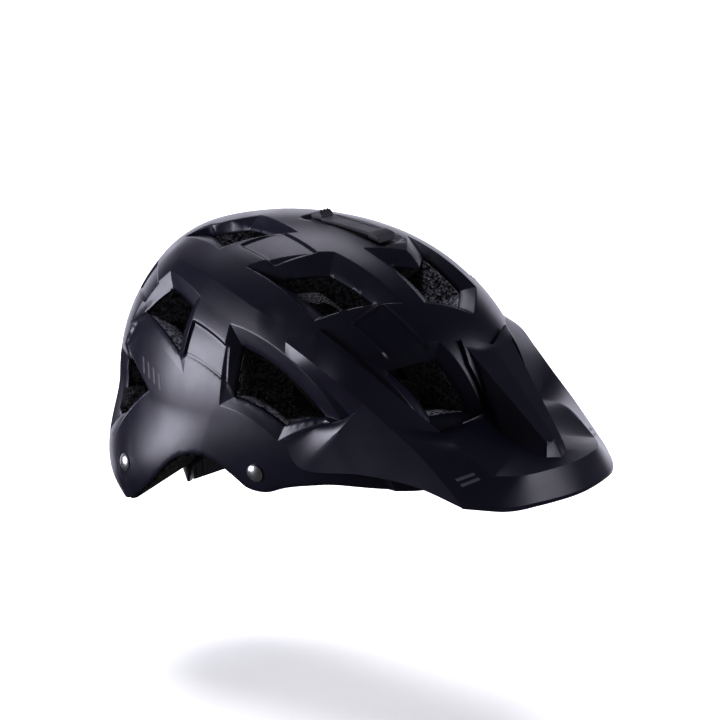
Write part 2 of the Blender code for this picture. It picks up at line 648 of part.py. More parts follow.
def accessory_mount():
    xs = np.linspace(MOUNT_REAR[0] - 5, MOUNT_FRONT[0] - 6, 7)
    sink = SEAT_DEPTH - 0.45
    under = [(x, crown_height(x, sink)) for x in xs]
    over = [(x, mount_line(x, -2.6)) for x in (xs[-1], xs[0])]
    add("mount_base", extruded("mount_base", under + over, -MOUNT_HALF, MOUNT_HALF, across), "plastic")
    xs = np.linspace(MOUNT_FRONT[0] - 5.6, MOUNT_FRONT[0] + 3.2, 3)
    under = [(x, crown_height(x, sink)) for x in xs]
    over = [(xs[-1] - 1.5, mount_line(xs[-1], 0.2)), (xs[0], mount_line(xs[0], 0.6))]
    add("mount_stop", extruded("mount_stop", under + over, -MOUNT_HALF, MOUNT_HALF, across), "plastic")
    low, high = MOUNT_REAR[0] + 3.5, MOUNT_FRONT[0] - 6
    plate = [(low, mount_line(low, -2.2)), (high, mount_line(high, -2.2)),
             (high, mount_line(high, 0)), (low, mount_line(low, 0))]
    lift = empty("mount_cover_slide", at(39, 0, 115))
    add("mount_cover", extruded("mount_cover", plate, -COVER_HALF, COVER_HALF, across), "plastic", lift)
    hinge = empty("mount_latch_pivot", at(LATCH_PIVOT[0], 0, LATCH_PIVOT[1]))
    barrel = [(LATCH_PIVOT[0] + LATCH_BARREL * math.cos(a), LATCH_PIVOT[1] + LATCH_BARREL * math.sin(a))
              for a in np.linspace(math.pi * 0.5, math.pi * 1.5, 9)]
    latch = barrel + [(17.9, mount_line(18, -2.1)), (17.9, mount_line(18, 1.2)),
                      (15.5, mount_line(15, 3.4)), (12.5, mount_line(12, 2.6))]
    add("mount_latch", extruded("mount_latch", latch, -LATCH_HALF, LATCH_HALF, across), "plastic", hinge)


# ---- straps, buckle and rivets ----
def rivets():
    for place, (x, y, z) in RIVETS.items():
        for side, sign in (("right", 1), ("left", -1)):
            point = np.array([x, y, z], float)
            direction = point / np.linalg.norm(point)
            uv_down = math.degrees(math.acos(direction[2]))
            uv = np.array([polar_to_map(math.degrees(math.atan2(-direction[1], direction[0])), uv_down)])
            normal = surface_normal(uv, SHELL_FORM)[0] * (1, sign, 1)
            on_shell = sunk(uv, SHELL_FORM, base_depth(uv) - 0.35)[0] * (1, sign, 1)
            middle = on_shell + normal * RIVET_HEIGHT / 2
            head = cylinder("head", middle, RIVET_FOOT, RIVET_HEIGHT, normal, 20, RIVET_TOP)
            add(f"rivet_{place}_{side}", head, "steel")
            anchor_at = sunk(uv, HEAD_FORM, 1.6)[0] * (1, sign, 1)
            inward = surface_normal(uv, HEAD_FORM)[0] * (1, sign, 1)
            washer = cylinder("anchor", anchor_at, ANCHOR_RADIUS, ANCHOR_THICK, inward, 20)
            add(f"strap_anchor_{place}_{side}", washer, "plastic")


def straps():
    for side, mirror in (("right", False), ("left", True)):
        for name, path in STRAP_PATHS.items():
            if name == "chin_strap" and mirror:
                path = path[:-1] + [LEFT_CHIN_END]
            band = ribbon(name, path, WEB_WIDTH, WEB_THICK, mirror)
            add(f"{name}_{side}", band, "web")


def divider_and_lever():
    for side, sign in (("right", 1), ("left", -1)):
        point, normal = head_point(*DIVIDER)
        z_axis = Vector(normal * (1, sign, 1))
        x_axis = Vector((1, 0, 0)) - z_axis * z_axis.x
        x_axis.normalize()
        turn = Matrix((x_axis, z_axis.cross(x_axis), z_axis)).transposed()
        centre = Vector(point * (1, sign, 1))
        body = box("divider", centre, DIVIDER_SIZE, turn, 0.8)
        add(f"strap_divider_{side}", body, "plastic")
        hinge_at = centre + turn @ Vector(LEVER_AXIS)
        hinge = empty(f"divider_lever_pivot_{side}", at(*hinge_at))
        outline = [(LEVER_BARREL * math.cos(a), LEVER_BARREL * math.sin(a))
                   for a in np.linspace(math.pi * 0.5, math.pi * 1.5, 9)]
        outline += [(LEVER_LENGTH - 0.8, -LEVER_BARREL), (LEVER_LENGTH, -0.4),
                    (LEVER_LENGTH, 0.4), (LEVER_LENGTH - 0.8, LEVER_BARREL)]

        def lever_place(a, b, h, origin=hinge_at, frame=turn):
            return origin + frame @ Vector((a, h, b))
        lever = extruded("lever", outline, -LEVER_HALF, LEVER_HALF, lever_place)
        add(f"divider_lever_{side}", lever, "plastic", hinge)


def buckle():
    x, z = BUCKLE

    def facing(a, b, h):
        return x - h, a, z + b
    socket = extruded("socket", LUG, -BUCKLE_HALF, BUCKLE_HALF, facing)
    add("buckle_female", socket, "plastic")
    slide = empty("buckle_release", at(x, PLUG_MIDDLE, z))
    plug = extruded("plug", TONGUE, -PLUG_HALF, PLUG_HALF, facing)
    add("buckle_male", plug, "plastic", slide)


# ---- fit system ----
def rack_outline(sign):
    """One rack strip as Y and Z: straight back, teeth towards the pinion's axis."""
    pitch = math.pi * GEAR_MODULE
    radius = PINION_TEETH * GEAR_MODULE / 2
    edge = []
    for k in range(-4, 5):
        middle = (k + 0.5) * pitch if sign > 0 else k * pitch
        edge += [(middle - 1.25, radius + 0.95), (middle - 0.45, radius - 0.7),
                 (middle + 0.45, radius - 0.7), (middle + 1.25, radius + 0.95)]
    back = radius + RACK_BACK
    outline = [(-RACK_HALF, radius + 0.95)] + edge
    outline += [(RACK_HALF, radius + 0.95), (RACK_HALF, back), (-RACK_HALF, back)]
    return [(a * sign, b * sign) for a, b in outline]


def pinion_outline():
    radius = PINION_TEETH * GEAR_MODULE / 2
    outline = []
    for k in range(PINION_TEETH):
        turn = 2 * math.pi * k / PINION_TEETH + math.pi / 2
        for share, reach in ((-0.25, -1.1), (-0.1, 0.75), (0.1, 0.75), (0.25, -1.1)):
            a = turn + share * 2 * math.pi / PINION_TEETH
            outline.append(((radius + reach) * math.cos(a), (radius + reach) * math.sin(a)))
    return outline


def fit_system():
    x, y, z = DIAL_CENTRE
    tilt = empty("cradle_pivot", at(TEMPLE[0], 0, TEMPLE[2]))

    def plate(a, b, h):
        return x + h, a, z + b
    front = [(-30, -10), (30, -10), (34, -6), (34, 6), (30, 10), (-30, 10), (-34, 6), (-34, -6)]
    add("fit_cradle", extruded("cradle", front, 3.2, 5.2, plate), "plastic", tilt)
    cover = [(a * COVER_SHARE, b * COVER_SHARE) for a, b in front]
    add("cradle_cover", extruded("cover", cover, -3.6, -1.6, plate), "plastic", tilt)
    dial_axis = empty("dial_axis", at(x, 0, z))
    dial_axis.parent = tilt
    dial_axis.matrix_parent_inverse = tilt.matrix_world.inverted()
    bpy.context.view_layer.update()
    knob = []
    for i in range(2 * KNOB_FLUTES):
        reach = KNOB_RADIUS * (1 if i % 2 else KNOB_FLUTE)
        turn = i * math.pi / KNOB_FLUTES
        knob.append((reach * math.cos(turn), reach * math.sin(turn)))
    add("fit_dial", extruded("dial", knob, -11.5, -3.9, plate), "plastic", dial_axis)
    add("dial_pinion", extruded("pinion", pinion_outline(), -1.3, 2.9, plate), "plastic", dial_axis)
    for side, sign in (("right", 1), ("left", -1)):
        rack = extruded("rack", rack_outline(sign), -1.2, 2.8, plate)
        slide = empty(f"rack_slide_{side}", at(x, 0, z + 8 * sign))
        add(f"rack_{side}", rack, "plastic", slide)
    for side, mirror in (("right", False), ("left", True)):
        wing = ribbon("wing", WING_PATH, *WING_BAND, mirror, 0.8)
        add(f"cradle_wing_{side}", wing, "plastic", tilt)
        arm = ribbon("arm", ARM_PATH, *ARM_BAND, mirror, 0.8)
        add(f"temple_arm_{side}", arm, "plastic", tilt)
        sign = -1 if mirror else 1
        point, normal = head_point(*ARM_PATH[-1])
        normal = normal * (1, sign, 1)
        pin_at = point * (1, sign, 1) + normal * 3.3
        pin = cylinder("pin", pin_at, PIN_RADIUS, PIN_LENGTH, normal)
        add(f"temple_pin_{side}", pin, "plastic")


# ---- comfort pads ----
def pads():
    add("brow_pad", pad("brow_pad", BROW_PAD, False, True), "pad")
    add("crown_pad", pad("crown_pad", CROWN_PAD, False, True), "pad")
    for side, mirror in (("right", False), ("left", True)):
        for name, outline in SIDE_PADS.items():
            add(f"{name}_{side}", pad(name, outline, mirror, False), "pad")


def main():
    for old in list(bpy.data.objects):
        bpy.data.objects.remove(old, do_unlink=True)
    bpy.context.scene.collection.children.link(bpy.data.collections.new(COLLECTION))
    outer_shell()
    eps_liner()
    visor()
    visor_discs()
    accessory_mount()
    rivets()
    straps()
    divider_and_lever()
    buckle()
    fit_system()
    pads()


main()
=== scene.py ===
"""Looks of the trail cycling helmet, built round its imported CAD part.

Metres, +X forward, +Y to the wearer's left, +Z up. Lengths in this file are in millimetres from the
centre of the helmet's form, which the frame gives, and at() turns them into the frame's metres.

The curved pieces are drawn as outlines on a dome map: u is the angle forward from the crown and v
the angle to the wearer's right, both in degrees, so that hypot(u, v) is the angle down from the
crown. The shell, the foam and the visor are modelled as right halves and mirrored.
"""

import json
from math import atan2, ceil, cos, degrees, pi, radians, sin

import bmesh
import bpy
import numpy as np
from mathutils import Matrix, Vector
from mathutils.geometry import delaunay_2d_cdt
from mathutils.kdtree import KDTree
from numpy.linalg import norm


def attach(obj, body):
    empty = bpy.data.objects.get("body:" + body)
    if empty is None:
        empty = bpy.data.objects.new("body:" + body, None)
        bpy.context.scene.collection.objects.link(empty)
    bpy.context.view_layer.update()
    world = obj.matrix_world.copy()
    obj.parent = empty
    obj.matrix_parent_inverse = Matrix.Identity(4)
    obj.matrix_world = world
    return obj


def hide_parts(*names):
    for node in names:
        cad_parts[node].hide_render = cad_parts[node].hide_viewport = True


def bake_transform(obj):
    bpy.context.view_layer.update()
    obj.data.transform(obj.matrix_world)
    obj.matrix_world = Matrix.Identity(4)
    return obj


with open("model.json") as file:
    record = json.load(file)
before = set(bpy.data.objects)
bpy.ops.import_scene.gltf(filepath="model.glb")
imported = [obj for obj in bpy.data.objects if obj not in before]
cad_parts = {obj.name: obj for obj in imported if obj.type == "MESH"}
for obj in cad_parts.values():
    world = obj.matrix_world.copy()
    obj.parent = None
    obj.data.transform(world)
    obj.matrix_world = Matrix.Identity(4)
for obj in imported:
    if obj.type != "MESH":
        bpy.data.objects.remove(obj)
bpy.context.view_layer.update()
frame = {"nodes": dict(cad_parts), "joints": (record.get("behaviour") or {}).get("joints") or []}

# ---- the form, as in the CAD part ----
MM = 0.001
PIVOT = (63.0, 57.0)          # the visor's pivot, forward and up from the form's centre
pivot_at = next(j["pos_m"] for j in frame["joints"] if j["name"] == "visor_tilt")
FORM_X = pivot_at[0] * 1000 - PIVOT[0]
FORM_Z = pivot_at[2] * 1000 - PIVOT[1]
SHELL_FORM = dict(front=157, rear=133.5, side=101, top=117.2, bottom=120)
HEAD_FORM = dict(front=110, rear=97, side=77, top=87, bottom=130)
FORM_POWER = 2.2
LOBE_FLARE = 0.15
LOBE_DOWN, LOBE_ROUND = (88, 30), (75, 62)      # start and span of the flare, in degrees
BULGES = [(-40, 13, 26, 0.032), (66, 9, 24, 0.02)]   # rear deck, brow: place, length, width, height
SHELL_WALL = 1.9
GAP = 0.8                     # between the shell and the foam, so that their faces don't meet
RIM = [(0, 101), (24, 103.4), (42, 104.5), (50, 106.3), (59, 109.4), (67, 113.2), (74, 113.4),
       (79, 110.6), (84, 107.6), (92, 104.2), (100, 104.4), (107, 107), (117, 114.4), (126, 119),
       (135, 121.2), (147, 122.4), (159, 119.4), (170, 116), (180, 114.5)]    # round, down

# ---- vents as (opening, outer edge of the bevel, depth of the sill at each corner) ----
VENTS = {
    "upper": ([(-30, 14), (-15, 11.5), (0, 16), (-15.5, 24.3)],
              [(-36, 17.5), (-13, 7), (9.5, 15.5), (-13.5, 29)], [6, 6, 6, 5]),
    "top": ([(13, 36), (29, 25), (47, 24), (37, 38)],
            [(2, 35), (26, 18.5), (52, 18.5), (37, 41.5)], [7, 7, 7, 6]),
    "crown": ([(44, 0), (39.5, 8.5), (54, 8.5), (59, 0)],
              [(38.5, 0), (31, 11), (55, 13), (63, 0)], [4.5, 4.5, 6, 6]),
    "front": ([(63, 35), (68, 20), (84, 13.5), (80, 28.5)],
              [(56, 39), (65, 17), (87, 8), (83, 31)], [6, 6, 6, 6]),
    "side": ([(13, 61), (58, 61), (45, 76), (15, 79)],
             [(6, 55), (64, 56), (45, 82), (7, 84)], [5.5, 5, 4.8, 4.8]),
    "rear": ([(-32, 40), (-18, 49.6), (-21.5, 66), (-46, 43.5)],
             [(-32.5, 34.5), (-12, 47.5), (-18, 74), (-56, 42)], [5.5, 5, 3, 3]),
    "low": ([(-50.5, 70.5), (-59, 54), (-69, 45), (-84, 53), (-74, 62)],
            [(-45, 74), (-61, 46), (-71, 37), (-92, 51), (-80, 67)], [5, 5, 5, 5, 5]),
    "tail": ([(-67, 0), (-65, 13), (-76, 16.5), (-81, 0)],
             [(-60, 0), (-59, 17), (-79, 22), (-88, 0)], [5, 5, 5, 5]),
}
FOAM_OPENINGS = {"low": [(-50.5, 70.5), (-59, 54), (-69, 45), (-78, 49), (-68, 58)]}

# ---- the sunk side panel and the seat of the accessory mount ----
SIDE_LINE = [(-50, 44), (-43, 46), (-19, 67), (-16, 66), (10, 74), (15, 79), (45, 76), (58, 61),
             (70, 57), (85, 50), (100, 45)]
SIDE_BELOW = [(130, 60), (60, 140), (-60, 140), (-120, 60)]
SIDE_DEPTH = 2.2
SIDE_STEP, SIDE_FADE = 1.5, 60          # degrees over which the panel drops, and rises again
SIDE_REAR = (-84, 42)                   # u where the panel starts, and the span of its rise
SEAT = [(2, 0), (2, 6), (34, 6), (34, 0)]
SEAT_FLOOR = [(3.2, 0), (3.2, 4.8), (32.8, 4.8), (32.8, 0)]
SEAT_DEPTH = 3.0
SEAT_WALL = 1.2

# ---- detail of the shell: recesses as (outline, depth, width of walls), and raised lines ----
RECESSES = [
    ([(-7, 27), (11.4, 31.8), (22, 21.5), (4, 17)], 1.3, 0.6),
    ([(46, 35), (61, 33), (65.5, 20.5), (48, 23)], 1.5, 0.6),
    ([(-13.2, 55.2), (8.2, 62.6), (10.2, 75), (-16.5, 67)], 1.8, 0.8),
    ([(-38, 37), (-46, 40), (-58, 24), (-46, 22)], 1.5, 0.8),
]
SHOULDER = [(-41, 19.5), (-30, 30.5), (-20, 36.5), (-10, 40.5), (0, 44.2), (12.5, 47.3), (24, 48.4)]
LOBE_EDGE = [(-71, 84), (-71.5, 91), (-67, 98)]
RIDGE_RISE, RIDGE_REACH, RIDGE_END = 1.1, 9.0, 8      # mm, and degrees beside it and at its ends
EDGE_ROUND = 0.25             # the shell's creases are rounded over this many degrees
LIP_DROP = 0.45               # how far the shell's free edges are rounded down

SHELL_GRID = 0.95
FOAM_GRID = 2.2
PAD_GRID = 1.2
VISOR_STRETCH = 10      # pieces of a visor line between two knots
VISOR_ROWS = 14
ON_CENTRE = 1e-3              # degrees from the centre line that still count as on it
MAP_REACH = 130               # degrees from the crown that the map covers
ROW_STEP = 0.866              # between the grid's rows, which form equilateral triangles
LINE_CLEAR, CENTRE_CLEAR = 0.6, 0.45    # spacings by which the grid stays off the lines
FLAT_AREA = 1e-6              # twice the area of a triangle too thin to keep
MIRROR_Y = (1, -1, 1)


def at(x, y, z):
    return Vector((x + FORM_X, y, z + FORM_Z)) * MM


def metres(points):
    return (np.asarray(points, float) + (FORM_X, 0, FORM_Z)) * MM


def smoothstep(x):
    x = np.clip(x, 0, 1)
    return x * x * (3 - 2 * x)


def unit(vectors):
    return vectors / norm(vectors, axis=1)[:, None]


def ring_pairs(count):
    return [(i, (i + 1) % count) for i in range(count)]


# ---- the dome map ----
def map_to_direction(uv):
    uv = np.asarray(uv, float)
    down = np.radians(np.hypot(uv[:, 0], uv[:, 1]))
    round_ = np.arctan2(uv[:, 1], uv[:, 0])
    return np.c_[np.sin(down) * np.cos(round_), -np.sin(down) * np.sin(round_), np.cos(down)]


def direction_to_map(points):
    x, y, z = unit(np.asarray(points, float)).T
    down = np.degrees(np.arccos(np.clip(z, -1, 1)))
    round_ = np.arctan2(-y, x)
    return np.c_[down * np.cos(round_), down * np.sin(round_)]


def polar_to_map(round_deg, down_deg):
    a = radians(round_deg)
    return down_deg * cos(a), down_deg * sin(a)


def form_radius(direction, form):
    """How far a form reaches in each direction; the shell's also flares and bulges."""
    x, y, z = direction.T
    along = np.where(x > 0, form["front"], form["rear"])
    up = np.where(z > 0, form["top"], form["bottom"])
    total = (np.abs(x) / along) ** FORM_POWER + (np.abs(y) / form["side"]) ** FORM_POWER
    radius = (total + (np.abs(z) / up) ** FORM_POWER) ** (-1 / FORM_POWER)
    if form is not SHELL_FORM:
        return radius
    down = np.degrees(np.arccos(np.clip(z, -1, 1)))
    round_ = np.degrees(np.arctan2(np.abs(y), x))
    lobe = (smoothstep((down - LOBE_DOWN[0]) / LOBE_DOWN[1])
            * smoothstep((round_ - LOBE_ROUND[0]) / LOBE_ROUND[1]))
    forward = down * np.cos(np.radians(round_))
    sideways = down * np.sin(np.radians(round_))
    grown = 1 + LOBE_FLARE * lobe
    for middle, length, width, height in BULGES:
        grown += height * np.exp(-((forward - middle) / length) ** 2 - (sideways / width) ** 2)
    return radius * grown


def surface(uv, form):
    direction = map_to_direction(uv)
    return direction * form_radius(direction, form)[:, None]


def surface_normal(uv, form):
    uv = np.asarray(uv, float)
    step = 0.05
    du = surface(uv + (step, 0), form) - surface(uv - (step, 0), form)
    dv = surface(uv + (0, step), form) - surface(uv - (0, step), form)
    return unit(np.cross(dv, du))


def sunk(uv, form, depth):
    """Points this far below a form."""
    return surface(uv, form) - surface_normal(uv, form) * np.reshape(depth, (-1, 1))


def catmull_rom(knots, step=None, pieces=None):
    """A smooth line through knots, in pieces of about step, or so many pieces a stretch.

    A line in space that ends on the centre plane meets its mirror image there without a corner.
    """
    knots = [np.array(k, float) for k in knots]
    beyond = 2 * knots[-1] - knots[-2]
    if len(knots[-1]) == 3 and knots[-1][1] == 0 and knots[-2][1] != 0:
        beyond = knots[-2] * MIRROR_Y
    padded = [2 * knots[0] - knots[1]] + knots + [beyond]
    line = []
    for a, b, c, d in zip(padded, padded[1:], padded[2:], padded[3:]):
        count = pieces or max(1, round(norm(c - b) / step))
        for t in np.arange(count) / count:
            line.append(0.5 * (2 * b + (c - a) * t + (2 * a - 5 * b + 4 * c - d) * t ** 2
                               + (3 * b - a - 3 * c + d) * t ** 3))
    line.append(knots[-1])
    return np.array(line)


def rim_line(step):
    return np.array([polar_to_map(*knot) for knot in catmull_rom(RIM, step)])


def divide(line, step, closed):
    """A line's points with more between them, so that none are further apart than step."""
    line = [np.array(p, float) for p in line]
    ends = line[1:] + line[:1] if closed else line[1:]
    out = []
    for a, b in zip(line, ends):
        count = max(1, ceil(norm(b - a) / step))
        out += [a + (b - a) * i / count for i in range(count)]
    if not closed:
        out.append(line[-1])
    return np.array(out)


def inside(points, polygon):
    x, y = np.asarray(points, float).T
    result = np.zeros(len(x), bool)
    for (x0, y0), (x1, y1) in zip(polygon, np.roll(polygon, -1, axis=0)):
        if y0 == y1:
            continue
        crosses = (y0 > y) != (y1 > y)
        result ^= crosses & (x < (x1 - x0) * (y - y0) / (y1 - y0) + x0)
    return result


def distance(points, line, closed):
    line = np.asarray(line, float)
    ends = np.roll(line, -1, axis=0) if closed else line[1:]
    best = np.full(len(points), np.inf)
    for a, b in zip(line, ends):
        ab = b - a
        t = np.clip((points - a) @ ab / max(ab @ ab, 1e-12), 0, 1)
        best = np.minimum(best, norm(points - a - t[:, None] * ab, axis=1))
    return best


def inset(polygon, by):
    """A polygon with each side moved inward by an angle."""
    points = np.array(polygon, float)
    turn = np.sign(np.cross(points, np.roll(points, -1, axis=0)).sum())
    out = []
    for a, b, c in zip(np.roll(points, 1, axis=0), points, np.roll(points, -1, axis=0)):
        n, m = (np.array([p[1] - q[1], q[0] - p[0]]) / norm(q - p) * turn
                for p, q in ((a, b), (b, c)))
        out.append(b + (n + m) * by / max(0.25, 1 + n @ m))
    return out


# ---- the shell's depth below the form ----
def base_depth(uv):
    """How deep the shell lies between the vents."""
    uv = np.asarray(uv, float)
    reach = distance(uv, SIDE_LINE, False)
    side = smoothstep(reach / SIDE_STEP) * (1 - smoothstep(reach / SIDE_FADE))
    side *= smoothstep((uv[:, 0] - SIDE_REAR[0]) / SIDE_REAR[1])
    total = np.where(inside(uv, SIDE_LINE + SIDE_BELOW), SIDE_DEPTH * side, 0.0)
    seat = SEAT + [(u, -v) for u, v in SEAT[2:0:-1]]
    total += SEAT_DEPTH * inside(uv, seat) * smoothstep(distance(uv, seat, True) / SEAT_WALL)
    for outline, deep, wall in RECESSES:
        total += deep * np.clip(distance(uv, outline, True) / wall, 0, 1) * inside(uv, outline)
    for line in (SHOULDER, LOBE_EDGE):
        to_end = np.minimum(norm(uv - line[0], axis=1), norm(uv - line[-1], axis=1))
        beside_it = np.clip(1 - distance(uv, line, False) / RIDGE_REACH, 0, 1)
        total -= RIDGE_RISE * beside_it ** 1.5 * smoothstep(to_end / RIDGE_END)
    return total


def depth(uv):
    """How deep the shell lies, with the vents' bevels as flat triangles down to their sills."""
    uv = np.asarray(uv, float)
    base = base_depth(uv)
    result = base.copy()
    for opening, bevel, sill in VENTS.values():
        for i, j in ring_pairs(len(opening)):
            for corners, on_panel, levels in (
                    ((bevel[i], bevel[j], opening[j]), (1, 1, 0), (0, 0, sill[j])),
                    ((bevel[i], opening[j], opening[i]), (1, 0, 0), (0, sill[j], sill[i]))):
                a, b, c = np.array(corners, float)
                if abs(np.cross(b - a, c - a)) < FLAT_AREA:
                    continue
                shares = np.linalg.solve(np.array([b - a, c - a]).T, (uv - a).T).T
                weights = np.c_[1 - shares.sum(1), shares]
                level = weights @ np.array(on_panel) * base + weights @ np.array(levels)
                result = np.where((weights > -1e-4).all(1), level, result)
    return result


# ---- sheets on the map ----
def triangulate(rim, lines, holes, spacing, centre_line):
    """An even mesh within a rim on the map, with edges along the lines and round the holes."""
    points, edges = [], []
    loops = [(loop, True) for loop in [rim] + holes]
    for line, closed in loops + [(line, False) for line in lines]:
        start = len(points)
        points += [tuple(p) for p in line]
        edges += [(start + i, start + i + 1) for i in range(len(line) - 1)]
        if closed:
            edges.append((start + len(line) - 1, start))
    span = np.arange(-MAP_REACH, MAP_REACH, spacing)
    rows = np.arange(-MAP_REACH, MAP_REACH, spacing * ROW_STEP)
    grid = np.array([(a + spacing * 0.5 * (row % 2), b)
                     for row, b in enumerate(rows) for a in span])
    keep = inside(grid, rim)
    if centre_line:
        keep &= grid[:, 1] > spacing * CENTRE_CLEAR
    for hole in holes:
        keep &= ~inside(grid, hole)
    grid = grid[keep]
    points += [tuple(p) for p in grid[nearest(grid, points) > spacing * LINE_CLEAR]]
    done = delaunay_2d_cdt([Vector(p) for p in points], edges, [], 0, 1e-4)
    flat = np.array([tuple(p) for p in done[0]])
    faces = np.array([f for f in done[2] if len(f) == 3])
    a, b, c = (flat[faces[:, k]] for k in range(3))
    middle = flat[faces].mean(1)
    wanted = inside(middle, rim) & (np.abs(np.cross(b - a, c - a)) > FLAT_AREA)
    for hole in holes:
        wanted &= ~inside(middle, hole)
    faces = faces[wanted]
    used = np.unique(faces)
    renumber = np.full(len(flat), -1)
    renumber[used] = np.arange(len(used))
    return flat[used], renumber[faces]


def nearest(points, fixed):
    """Distance from each point to the nearest of the fixed points."""
    tree = KDTree(len(fixed))
    for i, p in enumerate(fixed):
        tree.insert((p[0], p[1], 0), i)
    tree.balance()
    return np.array([tree.find((p[0], p[1], 0))[2] for p in points])


def relaxed(points, faces, held, factor, times):
    """Points moved towards the middle of their neighbours, except the held ones."""
    ends = np.concatenate([faces[:, [0, 1]], faces[:, [1, 2]], faces[:, [2, 0]]])
    ends = np.unique(np.sort(ends, axis=1), axis=0)
    for _ in range(times):
        total = np.zeros_like(points)
        count = np.zeros(len(points))
        for a, b in (ends.T, ends.T[::-1]):
            np.add.at(total, a, points[b])
            np.add.at(count, a, 1)
        middle = total / np.maximum(count, 1)[:, None]
        points = np.where(held[:, None], points, points + (middle - points) * factor)
    return points


def free_edges(flat, faces, halved):
    """The open edges, in the order of their faces; of a right half, those off its centre line."""
    seen = {}
    for face in faces.tolist():
        for a, b in zip(face, face[1:] + face[:1]):
            key = (min(a, b), max(a, b))
            seen[key] = None if key in seen else (a, b)
    return [e for e in seen.values()
            if e and (not halved or (np.abs(flat[list(e), 1]) > ON_CENTRE).any())]


def on_free_edge(flat, faces):
    free = np.zeros(len(flat), bool)
    free[np.ravel(free_edges(flat, faces, True))] = True
    return free


def layered(flat, faces, sheets, halved):
    """A closed mesh: the first sheet outside, the last inside, the others as rows of the walls."""
    free = free_edges(flat, faces, halved)
    rim = sorted({v for e in free for v in e})
    points = [sheets[0], sheets[-1]] + [sheet[rim] for sheet in sheets[1:-1]]
    polygons = faces.tolist() + (faces[:, ::-1] + len(flat)).tolist()
    ranks = [{v: v for v in rim}]
    for row in range(len(sheets) - 2):
        ranks.append({v: 2 * len(flat) + row * len(rim) + i for i, v in enumerate(rim)})
    ranks.append({v: v + len(flat) for v in rim})
    for upper, lower in zip(ranks, ranks[1:]):
        polygons += [(lower[a], lower[b], upper[b], upper[a]) for a, b in free]
    points = metres(np.concatenate(points))
    if halved:
        polygons += [tuple(i + len(points) for i in p[::-1]) for p in polygons]
        points = np.r_[points, points * MIRROR_Y]
    mesh = bpy.data.meshes.new("sheets")
    mesh.from_pydata(points.tolist(), [], polygons)
    bm = bmesh.new()
    bm.from_mesh(mesh)
    if halved:
        middle = [v for v in bm.verts if abs(v.co.y) < 1e-5]
        bmesh.ops.remove_doubles(bm, verts=middle, dist=4e-6)
    return bm


# ---- materials ----
def new_node(tree, kind, **values):
    """A new node; a value is a setting of the node, or else goes into the input of that name."""
    made = tree.nodes.new(kind)
    for key, value in values.items():
        if hasattr(made, key):
            setattr(made, key, value)
        else:
            made.inputs[key.replace("_", " ").title()].default_value = value
    return made


class Nodes:
    """A Principled material with its nodes added by short calls."""

    def __init__(self, name, colour, roughness, metallic=0.0, specular=0.5):
        self.material = bpy.data.materials.new(name)
        self.material.use_nodes = True
        self.tree = self.material.node_tree
        self.shader = self.tree.nodes["Principled BSDF"]
        self.set(self.shader, "Base Color", (*colour, 1))
        self.set(self.shader, "Roughness", roughness)
        self.set(self.shader, "Metallic", metallic)
        self.set(self.shader, "Specular IOR Level", specular)
        self.place = self.node("ShaderNodeTexCoord").outputs["Object"]

    def node(self, kind, **values):
        return new_node(self.tree, kind, **values)

    def set(self, node, socket, value):
        node.inputs[socket].default_value = value

    def join(self, a, b):
        self.tree.links.new(a, b)

    def pattern(self, kind, output, **values):
        made = self.node(kind, **values)
        self.join(self.place, made.inputs["Vector"])
        return made.outputs[output]

    def noise(self, scale, detail=2.0, rough=0.5):
        return self.pattern("ShaderNodeTexNoise", "Fac", scale=scale, detail=detail,
                            roughness=rough)

    def cells(self, scale, output="Distance"):
        return self.pattern("ShaderNodeTexVoronoi", output, scale=scale)

    def between(self, value, low, high, out_low, out_high):
        made = self.node("ShaderNodeMapRange", from_min=low, from_max=high, to_min=out_low,
                         to_max=out_high)
        self.join(value, made.inputs["Value"])
        return made.outputs["Result"]

    def mix(self, value, a, b):
        """The base colour, from a to b as the value goes from 0 to 1."""
        made = self.node("ShaderNodeMix", data_type="RGBA")
        self.set(made, 6, (*a, 1))
        self.set(made, 7, (*b, 1))
        self.join(value, made.inputs[0])
        self.join(made.outputs[2], self.shader.inputs["Base Color"])

    def rough(self, value, low, high, a, b):
        self.join(self.between(value, low, high, a, b), self.shader.inputs["Roughness"])

    def bump(self, value, strength, height):
        """A bump of this height in metres, on top of those before it."""
        made = self.node("ShaderNodeBump", strength=strength, distance=height)
        last = self.shader.inputs["Normal"].links
        self.join(value, made.inputs["Height"])
        if last:
            self.join(last[0].from_socket, made.inputs["Normal"])
        self.join(made.outputs["Normal"], self.shader.inputs["Normal"])


def scaled(colour, by):
    return tuple(c * by for c in colour)


def lacquer(name, colour):
    """Matte lacquer over thermoformed sheet: fine orange peel and a faint change of sheen."""
    m = Nodes(name, colour, 0.35, 0.0, 0.55)
    m.mix(m.between(m.noise(9, 3), 0.3, 0.7, 0, 1), scaled(colour, 0.86), scaled(colour, 1.18))
    m.rough(m.noise(45, 4, 0.6), 0.3, 0.7, 0.32, 0.38)
    m.bump(m.noise(1500, 2), 0.10, 0.00018)
    m.bump(m.noise(160, 2), 0.05, 0.0004)
    return m.material


